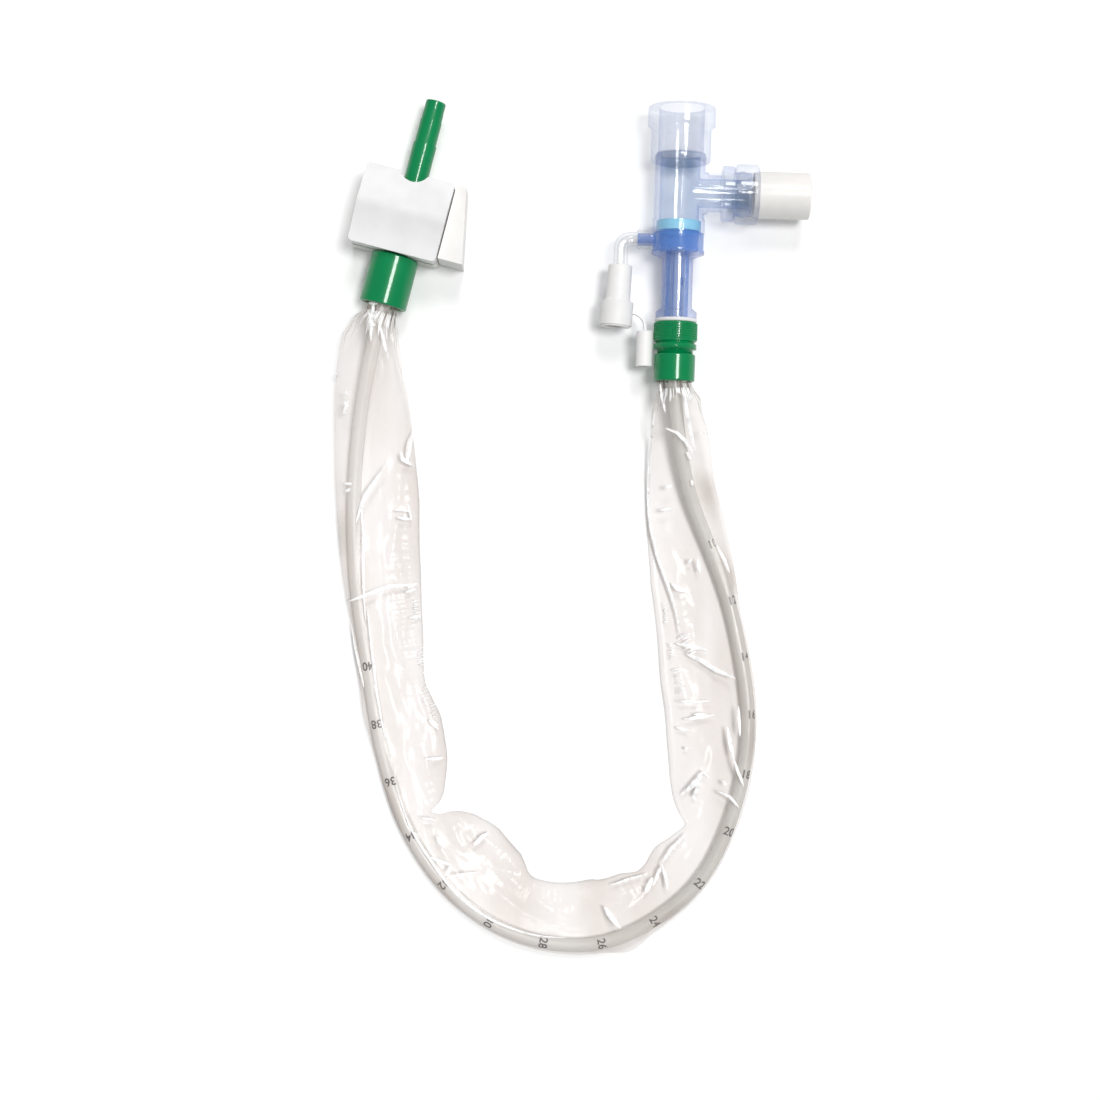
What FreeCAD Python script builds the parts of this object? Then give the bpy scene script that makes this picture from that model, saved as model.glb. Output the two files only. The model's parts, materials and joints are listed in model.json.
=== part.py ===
import FreeCAD, Part
import math
import os
import re

import Sketcher
from FreeCAD import Placement, Rotation, Vector

# Closed suction catheter, lying in a U as it comes to rest.
# Millimetres. The origin is the centre of the patient port's mouth, on the T-piece's axis.
# +Y leaves the patient port, +X leaves the side branch, +Z is up from the surface it lies on.

doc = FreeCAD.newDocument("closed_suction_catheter")

# Driving sizes

SIZES = [
    ("rim_radius", 11.3, "patient swivel, radius of its wide rim, which rests on the surface"),
    ("rim_length", 6.2, "patient swivel, length of the rim"),
    ("rim_slope", 1.1, "patient swivel, length of the slope below the rim"),
    ("swivel_radius", 10.0, "both swivels, radius of the body"),
    ("swivel_length", 18.6, "patient swivel, whole length"),
    ("swivel_round", 1.2, "both swivels, rounding of the outer edges"),
    ("port_radius", 7.65, "patient socket, wall radius for a 15 mm cone"),
    ("port_depth", 15.5, "patient socket, depth"),
    ("edge_round", 0.5, "small rounding of outer edges"),
    ("run_gap", 0.05, "radial running clearance of a swivel on its spigot"),
    ("end_gap", 0.3, "end clearance of a swivel"),
    ("spigot_radius", 8.2, "T-piece, spigot that carries the patient swivel"),
    ("bead_height", 0.35, "snap bead on a spigot, height"),
    ("bead_width", 1.2, "snap bead on a spigot, width"),
    ("bead_setback", 2.4, "snap bead of the branch, distance from the spigot's free end"),
    ("front_bead_setback", 0.7, "snap bead of the barrel, distance from the spigot's free end"),
    ("barrel_radius", 8.4, "T-piece, barrel"),
    ("barrel_bore", 6.7, "T-piece, bore of the barrel"),
    ("branch_offset", 28.5, "distance from the patient port's mouth to the branch's axis"),
    ("branch_root_radius", 7.4, "branch, radius where the root cone meets the barrel"),
    ("branch_root_reach", 9.4, "branch, end of the root cone from the T-piece's axis"),
    ("branch_root_end_radius", 6.9, "branch, radius at the end of the root cone"),
    ("neck_radius", 6.1, "branch, neck"),
    ("neck_reach", 14.2, "branch, end of the neck from the T-piece's axis"),
    ("branch_bore", 4.8, "branch, bore"),
    ("disc_radius", 9.2, "branch, flange disc"),
    ("disc_length", 4.0, "branch, thickness of the flange disc"),
    ("side_spigot_radius", 7.2, "branch, spigot that carries the side swivel"),
    ("side_spigot_length", 5.6, "branch, length of that spigot"),
    ("side_swivel_length", 7.8, "side swivel, length"),
    ("adapter_radius", 7.8, "circuit adapter, outer radius of the 15 mm cone"),
    ("adapter_bore", 6.2, "circuit adapter, bore"),
    ("adapter_reach", 17.2, "circuit adapter, length that stands out of the swivel"),
    ("adapter_seat_radius", 7.4, "circuit adapter, radius where it is seated"),
    ("adapter_seat", 1.6, "circuit adapter, length seated in the swivel's end"),
    ("seat_gap", 0.06, "clearance between pieces that are seated and never move"),
    ("seal_socket_offset", 9.1, "from the branch's axis to the lower socket of the T-piece"),
    ("seal_socket_length", 4.8, "T-piece, length of the lower socket"),
    ("seal_socket_radius", 8.75, "T-piece, outer radius of the lower socket"),
    ("seal_socket_bore", 7.5, "T-piece, bore of the lower socket"),
    ("socket_shoulder", 0.6, "T-piece, depth of the shoulder above the seal ring"),
    ("seal_thickness", 3.5, "seal ring, thickness"),
    ("seal_web", 0.8, "seal ring, thickness of its slit diaphragm"),
    ("seal_hub_radius", 4.0, "seal ring, radius of the diaphragm"),
    ("slit_width", 0.3, "seal ring, width of the slit"),
    ("slit_length", 4.2, "seal ring, length of the slit"),
    ("cap_radius", 8.5, "guide, radius of the cap"),
    ("cap_length", 6.8, "guide, length of the cap"),
    ("cap_flange", 0.3, "guide, how far the flange at the cap's foot stands out"),
    ("cap_flange_length", 1.1, "guide, thickness of that flange"),
    ("cap_wall", 1.4, "guide, wall of the cap"),
    ("tongue_length", 0.6, "guide, tongue that enters the T-piece's socket"),
    ("guide_radius", 5.2, "guide, outer radius of the narrow tube"),
    ("guide_bore", 3.9, "guide, bore of the narrow tube"),
    ("guide_length", 19.5, "guide, length of the narrow tube"),
    ("guide_rib_count", 6, "guide, number of ribs inside the tube"),
    ("guide_rib_width", 0.7, "guide, width of a rib"),
    ("guide_rib_radius", 2.8, "guide, radius inside the ribs"),
    ("guide_flange_radius", 6.9, "guide, radius of the end flange"),
    ("guide_flange_length", 2.1, "guide, thickness of the end flange"),
    ("washer_radius", 7.05, "washer, outer radius"),
    ("washer_length", 1.3, "washer, thickness"),
    ("washer_bore", 3.6, "washer, bore"),
    ("nut_radius", 7.15, "front nut, outer radius"),
    ("nut_grip_length", 6.4, "front nut, length of the knurled part"),
    ("nut_notch_radius", 6.5, "front nut, radius in the notch below the knurl"),
    ("nut_notch_length", 1.0, "front nut, width of the notch"),
    ("nut_ring_length", 1.7, "front nut, width of the ring below the notch"),
    ("nut_neck_radius", 6.0, "front nut, neck above the collar"),
    ("nut_neck_length", 1.6, "front nut, length of the neck"),
    ("grip_spigot_radius", 4.8, "spigot inside each collar that the film is gathered on"),
    ("nut_bore", 3.1, "front nut, bore for the catheter"),
    ("wiper_radius", 5.4, "front wiper seal, outer radius"),
    ("wiper_length", 4.2, "front wiper seal, length"),
    ("wiper_gap", 0.03, "front wiper seal, clearance on the catheter"),
    ("collar_radius", 6.85, "front collar, outer radius"),
    ("collar_length", 9.1, "front collar, length"),
    ("collar_bore", 6.0, "both collars, bore over the gathered film"),
    ("collar_seat", 1.4, "both collars, length of the inner lip that seats on the nut or hub"),
    ("collar_round", 0.5, "both collars, rounding of the edges"),
    ("tube_radius", 2.335, "catheter, outer radius of a 14 Fr tube"),
    ("tube_lumen", 1.6, "catheter, radius of the lumen"),
    ("eye_radius", 0.95, "catheter, radius of a side eye"),
    ("eye_setback", 2.6, "catheter, distance of the first eye from the tip"),
    ("eye_pitch", 2.9, "catheter, distance between the two eyes"),
    ("film_wall", 0.35, "sleeve, wall as modelled; the real film is about 0.1"),
    ("film_grip_radius", 5.6, "sleeve, mean radius where a collar grips it"),
    ("film_grip_length", 7.4, "sleeve, length inside a collar"),
    ("nipple_radius", 2.1, "guide, nipple for the irrigation line"),
    ("nipple_bore", 1.1, "guide, bore of the nipple"),
    ("nipple_offset", 44.6, "from the patient port's mouth to the nipple's axis"),
    ("nipple_reach", 13.6, "guide, end of the nipple from the T-piece's axis"),
    ("elbow_radius", 2.4, "irrigation elbow, outer radius of the line"),
    ("elbow_lumen", 1.3, "irrigation elbow, radius of the lumen"),
    ("elbow_socket_radius", 3.3, "irrigation elbow, outer radius of the ridged socket"),
    ("elbow_ring_depth", 0.35, "irrigation elbow, depth of the grooves between the ridges"),
    ("elbow_ring_pitch", 1.25, "irrigation elbow, pitch of the ridges"),
    ("elbow_corner", 19.1, "irrigation elbow, corner from the T-piece's axis"),
    ("elbow_bend", 3.0, "irrigation elbow, radius of the bend"),
    ("elbow_drop", 8.8, "irrigation elbow, from the nipple's axis down to the port's top edge"),
    ("elbow_stub", 4.5, "irrigation elbow, length inside the port"),
    ("inlet_length", 20.8, "irrigation port, length"),
    ("inlet_top_radius", 4.0, "irrigation port, radius at the elbow"),
    ("inlet_mouth_radius", 4.9, "irrigation port, radius at the open end"),
    ("inlet_bore", 3.1, "irrigation port, bore of the open end"),
    ("inlet_depth", 8.5, "irrigation port, depth of the open end's bore"),
    ("inlet_lean", 3.3, "irrigation port, degrees that it leans outwards"),
    ("duckbill_radius", 2.6, "irrigation valve, radius of its flange"),
    ("duckbill_length", 4.6, "irrigation valve, length"),
    ("strap_ring_width", 8.0, "irrigation cap, width of the ring round the port"),
    ("strap_ring_wall", 0.55, "irrigation cap, wall of that ring"),
    ("strap_ring_place", 16.4, "irrigation cap, from the port's top edge to the middle of the ring"),
    ("strap_width", 2.4, "irrigation cap, width of the strap"),
    ("strap_thickness", 0.9, "irrigation cap, thickness of the strap"),
    ("strap_drop", 1.6, "irrigation cap, straight part of the strap above the plug"),
    ("plug_radius", 2.8, "irrigation cap, outer radius of the plug"),
    ("plug_length", 12.0, "irrigation cap, length of the plug"),
    ("plug_bore", 1.9, "irrigation cap, bore of the hollow plug"),
    ("plug_clearance", 0.3, "irrigation cap, gap between the plug and the nut beside it"),
    ("valve_across", -82.7, "suction connector's tip, across from the T-piece's axis"),
    ("valve_along", -0.1, "suction connector's tip, along the T-piece's axis"),
    ("valve_turn", 103.0, "degrees clockwise from +X to the valve's own axis"),
    ("valve_height", 9.0, "height of the valve's axis over the surface"),
    ("tip_radius", 3.4, "suction connector, first step"),
    ("tip_length", 4.1, "suction connector, length of the first step"),
    ("step_two_radius", 3.5, "suction connector, second step"),
    ("step_two_length", 2.7, "suction connector, length of the second step"),
    ("step_three_radius", 3.68, "suction connector, third step"),
    ("step_three_length", 8.1, "suction connector, length of the third step"),
    ("shank_radius", 4.0, "valve body, shank that runs under the button"),
    ("suction_bore", 1.4, "valve body, bore of the suction way"),
    ("button_start", 26.7, "from the connector's tip to the front edge of the button"),
    ("button_length", 26.8, "thumb button, length along the valve's axis"),
    ("button_width", 30.0, "thumb button, width"),
    ("button_shift", -0.9, "thumb button, its middle across from the valve's axis"),
    ("button_top", 22.0, "thumb button, height of its crest over the surface"),
    ("button_fall", 2.6, "thumb button, how far its ends lie below the crest"),
    ("button_skirt", 12.4, "thumb button, height of its lower edge over the surface"),
    ("button_wall", 1.6, "thumb button, wall"),
    ("button_corner", 1.4, "thumb button, rounding of its corners in plan"),
    ("button_travel", 3.0, "thumb button, travel when it is pressed"),
    ("button_gap", 0.35, "clearance of the button round its guide"),
    ("saddle_radius", 5.4, "thumb button, radius of the saddle notch at its front edge"),
    ("saddle_depth", 3.0, "thumb button, depth of that notch"),
    ("hub_radius", 5.4, "valve body, hub that leaves the button at the rear"),
    ("hub_reach", 70.4, "valve body, end of the hub from the connector's tip"),
    ("hub_socket_start", 47.4, "valve body, end of the catheter in its socket"),
    ("socket_gap", 0.06, "clearance of the catheter in its glued socket"),
    ("flare_radius", 3.4, "valve body, flare of the catheter's socket"),
    ("flare_start", 61.0, "valve body, where the flare begins"),
    ("drum_radius", 8.2, "valve body, drum that holds the plunger"),
    ("drum_base", 1.4, "valve body, height of the drum's foot over the surface"),
    ("drum_rise", 4.3, "valve body, drum's top over the valve's axis"),
    ("chimney_radius", 5.6, "valve body, chimney round the plunger"),
    ("chimney_rise", 5.0, "valve body, chimney's top over the valve's axis"),
    ("plunger_radius", 3.5, "plunger, radius"),
    ("plunger_gap", 0.05, "plunger, running clearance in its bore"),
    ("plunger_drop", 2.0, "plunger, foot below the valve's axis"),
    ("bore_floor", 5.9, "valve body, floor of the plunger's bore below the valve's axis"),
    ("ring_section", 0.65, "plunger seal, radius of its section"),
    ("boss_radius", 4.4, "thumb button, boss that holds the plunger"),
    ("boss_foot", 17.2, "thumb button, lower end of the boss over the surface"),
    ("stud_radius", 1.6, "plunger, stud that is pressed into the boss"),
    ("stud_length", 2.2, "plunger, length of the stud"),
    ("bellows_wall", 0.6, "return bellows, wall"),
    ("bellows_outer", 8.0, "return bellows, radius outside its folds"),
    ("bellows_inner", 6.7, "return bellows, radius inside its folds"),
    ("bellows_seat", 0.6, "return bellows, thickness of its two seats"),
    ("bellows_top", 18.0, "return bellows, its upper end over the surface"),
    ("plinth_height", 8.6, "valve base, height of the part under the button"),
    ("base_wall", 1.5, "valve base, wall"),
    ("base_floor", 1.3, "valve base, thickness of its floor"),
    ("rail_height", 14.2, "valve base, height of the walls that guide the button"),
    ("wing_gap", 0.4, "valve base, gap between the button and the wing beside it"),
    ("wing_front", 3.8, "valve base, width of the wing at the front"),
    ("wing_rear", 8.8, "valve base, width of the wing at the rear"),
    ("wing_height", 17.4, "valve base, height of the wing"),
    ("wing_setback", 1.8, "valve base, from the button's rear edge to the wing's"),
    ("wing_corner", 1.6, "valve base, rounding of the wing's corners"),
    ("rear_collar_start", 53.9, "from the connector's tip to the rear collar"),
    ("rear_collar_length", 17.0, "rear collar, length"),
    ("rear_collar_radius", 8.0, "rear collar, outer radius"),
]

sizes = doc.addObject("Spreadsheet::Sheet", "sizes")
for row, (alias, value, meaning) in enumerate(SIZES, start=1):
    sizes.set(f"A{row}", meaning)
    sizes.set(f"B{row}", str(value))
    sizes.setAlias(f"B{row}", alias)
doc.recompute()

WORDS = re.compile(r"\b(" + "|".join(alias for alias, _, _ in SIZES) + r")\b")


def cells(text):
    """The formula with each size's name pointed at its cell."""
    return WORDS.sub(r"sizes.\1", str(text))


def amount(text):
    """The formula's value now."""
    return float(sizes.evalExpression(cells(text)))


# Places along the T-piece's axis, from the patient port's mouth

SPIGOT_START = "(port_depth + end_gap)"
BARREL_START = "(swivel_length + end_gap)"
SOCKET_START = "(branch_offset + seal_socket_offset)"
SOCKET_END = "(branch_offset + seal_socket_offset + seal_socket_length)"
SEAL_START = "(branch_offset + seal_socket_offset + socket_shoulder)"
SEAL_END = "(branch_offset + seal_socket_offset + socket_shoulder + seal_thickness)"
CAP_END = f"({SOCKET_END} + cap_length)"
GUIDE_END = f"({CAP_END} + guide_length)"
FLANGE_END = f"({GUIDE_END} + guide_flange_length)"
NUT_START = f"({FLANGE_END} + washer_length)"
NUT_GRIP_END = f"({NUT_START} + nut_grip_length)"
NUT_RING_START = f"({NUT_GRIP_END} + nut_notch_length)"
NUT_RING_END = f"({NUT_RING_START} + nut_ring_length)"
COLLAR_START = f"({NUT_RING_END} + nut_neck_length)"
COLLAR_END = f"({COLLAR_START} + collar_length)"

# Places along the valve's axis, from the connector's tip

STEP_TWO = "tip_length"
STEP_THREE = "(tip_length + step_two_length)"
SHANK_START = "(tip_length + step_two_length + step_three_length)"
PLUNGER_PLACE = "(button_start + button_length / 2)"
BUTTON_END = "(button_start + button_length)"
REAR_COLLAR_END = "(rear_collar_start + rear_collar_length)"

# Heights over the surface, on the valve

BORE_RADIUS = "(plunger_radius + plunger_gap)"
DRUM_TOP = "(valve_height + drum_rise)"
CHIMNEY_TOP = "(valve_height + chimney_rise)"
BUTTON_ROOF = "(button_top - button_wall)"
HUB_START = f"({PLUNGER_PLACE} + bellows_outer + button_gap)"


# Helpers for sketches and solids


def origin_plane(body, role):
    return [feature for feature in body.Origin.OriginFeatures if feature.Role == role][0]


def toward(corner, other):
    """One step along X or Y from a corner to its neighbour."""
    across = other[0] - corner[0]
    along = other[1] - corner[1]
    if abs(across) > abs(along):
        return math.copysign(1, across), 0
    return 0, math.copysign(1, along)


def moved(text, step, distance):
    """The formula moved by a distance to either side, or left alone."""
    if not step:
        return text
    return f"{text} {'+' if step > 0 else '-'} {distance}"


def outline(body, label, plane, points):
    """A closed sketch through points (x, y) or (x, y, rounding), each bound to its formulas."""
    sketch = body.newObject("Sketcher::SketchObject", label)
    sketch.AttachmentSupport = [(origin_plane(body, plane), "")]
    sketch.MapMode = "FlatFace"
    places = [(amount(point[0]), amount(point[1])) for point in points]
    nodes = []
    for index, point in enumerate(points):
        corner = places[index]
        if len(point) == 2:
            nodes.append((point[0], point[1], corner, None))
            continue
        rounding = point[2]
        size = amount(rounding)
        before = toward(corner, places[index - 1])
        after = toward(corner, places[(index + 1) % len(points)])
        middle = tuple(corner[k] + (before[k] + after[k]) * size * (1 - math.sqrt(0.5)) for k in (0, 1))
        for step, arc in ((before, (rounding, middle)), (after, None)):
            place = tuple(corner[k] + step[k] * size for k in (0, 1))
            nodes.append((moved(point[0], step[0], rounding), moved(point[1], step[1], rounding), place, arc))
    edges = []
    for index, (_, _, start, arc) in enumerate(nodes):
        end = nodes[(index + 1) % len(nodes)][2]
        first, last = Vector(*start, 0), Vector(*end, 0)
        if arc:
            middle = Vector(*arc[1], 0)
            ends = (1, 2) if (middle - first).cross(last - middle).z > 0 else (2, 1)
            shape = Part.Arc(first, middle, last) if ends == (1, 2) else Part.Arc(last, middle, first)
            edges.append((sketch.addGeometry(shape, False), *ends))
        else:
            edges.append((sketch.addGeometry(Part.LineSegment(first, last), False), 1, 2))
    for index, (edge, _, end) in enumerate(edges):
        following = edges[(index + 1) % len(edges)]
        sketch.addConstraint(Sketcher.Constraint("Coincident", edge, end, following[0], following[1]))
    for (x_text, y_text, place, arc), (edge, start, _) in zip(nodes, edges):
        for kind, text, value in (("DistanceX", x_text, place[0]), ("DistanceY", y_text, place[1])):
            number = sketch.addConstraint(Sketcher.Constraint(kind, -1, 1, edge, start, value))
            sketch.setExpression(f"Constraints[{number}]", cells(text))
        if arc:
            number = sketch.addConstraint(Sketcher.Constraint("Radius", edge, amount(arc[0])))
            sketch.setExpression(f"Constraints[{number}]", cells(arc[0]))
    return sketch


def turned(label, points, upright=False):
    """A body turned round local X from points (x, radius), or upright from points (radius, z)."""
    body = doc.addObject("PartDesign::Body", label)
    sketch = outline(body, label + "_profile", "XZ_Plane" if upright else "XY_Plane", points)
    turn = body.newObject("PartDesign::Revolution", label + "_turn")
    turn.Profile = sketch
    turn.ReferenceAxis = (sketch, ["V_Axis" if upright else "H_Axis"])
    turn.Angle = 360
    return body


def rod(label, start, end, radius, upright=False):
    """A plain rod along the axis, used to add a post or to cut a hole."""
    if upright:
        return turned(label, [(0, start), (radius, start), (radius, end), (0, end)], upright=True)
    return turned(label, [(start, 0), (end, 0), (end, radius), (start, radius)])


def prism(label, points, low, high):
    """A body raised from a plan outline, from one height to another."""
    body = doc.addObject("PartDesign::Body", label)
    sketch = outline(body, label + "_plan", "XY_Plane", points)
    sketch.setExpression("AttachmentOffset.Base.z", cells(low))
    pad = body.newObject("PartDesign::Pad", label + "_pad")
    pad.Profile = sketch
    pad.setExpression("Length", cells(f"({high}) - ({low})"))
    return body


def side_prism(label, points, width):
    """A body from a side outline (x, z), the same width to both sides."""
    body = doc.addObject("PartDesign::Body", label)
    sketch = outline(body, label + "_side", "XZ_Plane", points)
    pad = body.newObject("PartDesign::Pad", label + "_pad")
    pad.Profile = sketch
    pad.SideType = "Symmetric"
    pad.setExpression("Length", cells(width))
    return body


def rectangle(left, right, front, back, rounding=None):
    corners = [(left, front), (right, front), (right, back), (left, back)]
    return [corner + (rounding,) if rounding else corner for corner in corners]


def fused(label, pieces):
    whole = doc.addObject("Part::MultiFuse", label)
    whole.Shapes = pieces
    return whole


def cut(label, base, tool):
    rest = doc.addObject("Part::Cut", label)
    rest.Base = base
    rest.Tool = tool
    return rest


def common(label, pieces):
    shared = doc.addObject("Part::MultiCommon", label)
    shared.Shapes = pieces
    return shared


def set_place(thing, x="0", y="0", z="0"):
    """Binds where the thing's own origin lies."""
    for letter, text in (("x", x), ("y", y), ("z", z)):
        thing.setExpression(f"Placement.Base.{letter}", cells(text))
    return thing


nodes = []


def node(thing):
    nodes.append(thing)
    return thing


def on_axis(thing):
    """Lays a piece along the T-piece's axis: its own X runs from the patient port to the sleeve."""
    thing.Placement = Placement(Vector(), Rotation(Vector(0, 0, -1), 90))
    return node(thing)


def on_branch(thing):
    """Lays a piece along the branch: its own X runs outwards from the T-piece's axis."""
    return node(set_place(thing, y="-branch_offset"))


def on_valve(thing, x="0", y="0"):
    """Places a piece in the valve's frame: X runs from the connector's tip, Z up from the surface."""
    thing.Placement = Placement(Vector(), Rotation(Vector(0, 0, -1), amount("valve_turn")))
    thing.setExpression("Placement.Rotation.Angle", cells("valve_turn"))
    set_place(
        thing,
        x=f"valve_across + ({x}) * cos(valve_turn) + ({y}) * sin(valve_turn)",
        y=f"valve_along - ({x}) * sin(valve_turn) + ({y}) * cos(valve_turn)",
        z="-rim_radius",
    )
    return node(thing)


# Swivels


def patient_swivel():
    inner = "spigot_radius + run_gap"
    groove = "spigot_radius + bead_height + run_gap"
    groove_start = f"{SPIGOT_START} + front_bead_setback - end_gap"
    groove_end = f"{SPIGOT_START} + front_bead_setback + bead_width + end_gap"
    return on_axis(turned("patient_swivel", [
        (0, "port_radius"),
        (0, "rim_radius", "edge_round"),
        ("rim_length", "rim_radius"),
        ("rim_length + rim_slope", "swivel_radius"),
        ("swivel_length", "swivel_radius", "swivel_round"),
        ("swivel_length", inner),
        (groove_end, inner),
        (groove_end, groove),
        (groove_start, groove),
        (groove_start, inner),
        ("port_depth", inner),
        ("port_depth", "port_radius"),
    ]))


def side_swivel():
    start = "neck_reach + disc_length + end_gap"
    inner = "side_spigot_radius + run_gap"
    groove = "side_spigot_radius + bead_height + run_gap"
    spigot_end = "neck_reach + disc_length + side_spigot_length"
    groove_start = f"{spigot_end} - bead_setback - bead_width - end_gap"
    groove_end = f"{spigot_end} - bead_setback + end_gap"
    finish = f"{start} + side_swivel_length"
    return on_branch(turned("side_swivel", [
        (start, inner),
        (start, "swivel_radius", "swivel_round"),
        (finish, "swivel_radius", "swivel_round"),
        (finish, "adapter_seat_radius + seat_gap"),
        (f"{finish} - adapter_seat", "adapter_seat_radius + seat_gap"),
        (f"{finish} - adapter_seat", inner),
        (groove_end, inner),
        (groove_end, groove),
        (groove_start, groove),
        (groove_start, inner),
    ]))


def circuit_adapter():
    seat = "neck_reach + disc_length + end_gap + side_swivel_length - adapter_seat"
    finish = f"{seat} + adapter_seat + adapter_reach"
    return on_branch(turned("circuit_adapter", [
        (seat, "adapter_bore"),
        (seat, "adapter_seat_radius"),
        (f"{seat} + adapter_seat + seat_gap", "adapter_seat_radius"),
        (f"{seat} + adapter_seat + seat_gap", "adapter_radius"),
        (finish, "adapter_radius", "edge_round"),
        (finish, "adapter_bore"),
    ]))


# T-piece


def t_piece():
    bead_start = f"{SPIGOT_START} + front_bead_setback"
    bead_top = "spigot_radius + bead_height"
    barrel = turned("t_piece_barrel", [
        (SPIGOT_START, 0),
        (SPIGOT_START, "spigot_radius"),
        (bead_start, "spigot_radius"),
        (f"{bead_start} + bead_width / 2", bead_top),
        (f"{bead_start} + bead_width", "spigot_radius"),
        (BARREL_START, "spigot_radius"),
        (BARREL_START, "barrel_radius"),
        (SOCKET_START, "barrel_radius"),
        (SOCKET_START, "seal_socket_radius"),
        (SOCKET_END, "seal_socket_radius"),
        (SOCKET_END, 0),
    ])
    spigot_start = "neck_reach + disc_length"
    spigot_end = f"{spigot_start} + side_spigot_length"
    side_bead_end = f"{spigot_end} - bead_setback"
    branch = turned("t_piece_branch", [
        (0, 0),
        (0, "branch_root_radius"),
        ("barrel_radius * 0.75", "branch_root_radius"),
        ("branch_root_reach", "branch_root_end_radius"),
        ("branch_root_reach", "neck_radius"),
        ("neck_reach", "neck_radius"),
        ("neck_reach", "disc_radius", "edge_round"),
        (spigot_start, "disc_radius", "edge_round"),
        (spigot_start, "side_spigot_radius"),
        (f"{side_bead_end} - bead_width", "side_spigot_radius"),
        (f"{side_bead_end} - bead_width / 2", "side_spigot_radius + bead_height"),
        (side_bead_end, "side_spigot_radius"),
        (spigot_end, "side_spigot_radius"),
        (spigot_end, 0),
    ])
    branch_bore = turned("t_piece_branch_bore", [
        (0, 0),
        (0, "branch_bore"),
        (f"{spigot_end} - adapter_seat", "branch_bore"),
        (f"{spigot_end} + adapter_seat", "adapter_bore"),
        (f"{spigot_end} + adapter_seat", 0),
    ])
    for side in (branch, branch_bore):
        side.Placement = Placement(Vector(), Rotation(Vector(0, 0, 1), 90))
        set_place(side, x="branch_offset")
    bore = turned("t_piece_bore", [
        (f"{SPIGOT_START} - end_gap", 0),
        (f"{SPIGOT_START} - end_gap", "barrel_bore"),
        (f"{SEAL_START}", "barrel_bore"),
        (f"{SEAL_START}", "seal_socket_bore"),
        (f"{SOCKET_END} + end_gap", "seal_socket_bore"),
        (f"{SOCKET_END} + end_gap", 0),
    ])
    outside = fused("t_piece_outside", [barrel, branch])
    inside = fused("t_piece_inside", [bore, branch_bore])
    return on_axis(cut("t_piece_body", outside, inside))


def seal_ring():
    rim = "seal_socket_bore - seat_gap"
    ring = turned("seal_ring_solid", [
        (SEAL_START, "seal_hub_radius"),
        (SEAL_START, rim, "slit_width"),
        (SEAL_END, rim, "slit_width"),
        (SEAL_END, "seal_hub_radius"),
        (f"{SEAL_END} + seal_web", 0.5),
        (f"{SEAL_END} + seal_web", 0),
        (SEAL_END, 0),
        (f"{SEAL_END} - seal_web", "seal_hub_radius - seal_web"),
    ])
    slit = prism(
        "seal_ring_slit",
        rectangle(f"{SEAL_START}", f"{CAP_END}", "-slit_width / 2", "slit_width / 2"),
        "-slit_length / 2",
        "slit_length / 2",
    )
    return on_axis(cut("seal_ring", ring, slit))


# Guide, washer, nut and front collar


def catheter_guide():
    tongue = "seal_socket_bore - seat_gap"
    chamber = "cap_radius - cap_wall"
    tongue_start = f"{SOCKET_END} - tongue_length"
    shell = turned("guide_shell", [
        (tongue_start, f"{chamber} - 0.3"),
        (tongue_start, tongue),
        (SOCKET_END, tongue),
        (SOCKET_END, "cap_radius"),
        (f"{CAP_END} - cap_flange_length", "cap_radius"),
        (f"{CAP_END} - cap_flange_length", "cap_radius + cap_flange"),
        (CAP_END, "cap_radius + cap_flange"),
        (f"{CAP_END} + cap_wall", "guide_radius"),
        (f"{GUIDE_END} - cap_wall", "guide_radius"),
        (GUIDE_END, "guide_flange_radius"),
        (FLANGE_END, "guide_flange_radius"),
        (FLANGE_END, "guide_bore"),
        (CAP_END, "guide_bore"),
        (f"{CAP_END} - cap_wall", "guide_bore + cap_wall"),
        (f"{CAP_END} - cap_wall", f"{chamber} - 0.3"),
    ])
    nipple = rod("guide_nipple", "cap_radius - cap_wall / 2", "nipple_reach", "nipple_radius")
    nipple_hole = rod("guide_nipple_bore", "cap_wall", "nipple_reach + cap_wall", "nipple_bore")
    for side in (nipple, nipple_hole):
        side.Placement = Placement(Vector(), Rotation(Vector(0, 0, -1), 90))
        set_place(side, x="nipple_offset")
    rib = prism(
        "guide_rib",
        rectangle(CAP_END, FLANGE_END, "guide_rib_radius", "guide_bore + cap_wall / 4"),
        "-guide_rib_width / 2",
        "guide_rib_width / 2",
    )
    ribs = []
    for index in range(int(amount("guide_rib_count"))):
        copy = doc.addObject("PartDesign::Body", f"guide_rib_{index + 1}") if index else rib
        if index:
            plan = outline(copy, f"guide_rib_{index + 1}_plan", "XY_Plane", rectangle(
                CAP_END, FLANGE_END, "guide_rib_radius", "guide_bore + cap_wall / 4"))
            plan.setExpression("AttachmentOffset.Base.z", cells("-guide_rib_width / 2"))
            pad = copy.newObject("PartDesign::Pad", f"guide_rib_{index + 1}_pad")
            pad.Profile = plan
            pad.setExpression("Length", cells("guide_rib_width"))
        copy.Placement = Placement(Vector(), Rotation(Vector(1, 0, 0), 360 * index / amount("guide_rib_count")))
        ribs.append(copy)
    whole = fused("guide_whole", [shell, nipple] + ribs)
    return on_axis(cut("catheter_guide", whole, nipple_hole))


def seal_washer():
    return on_axis(turned("seal_washer", [
        (FLANGE_END, "washer_bore"),
        (FLANGE_END, "washer_radius", "edge_round"),
        (NUT_START, "washer_radius", "edge_round"),
        (NUT_START, "washer_bore"),
    ]))


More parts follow.
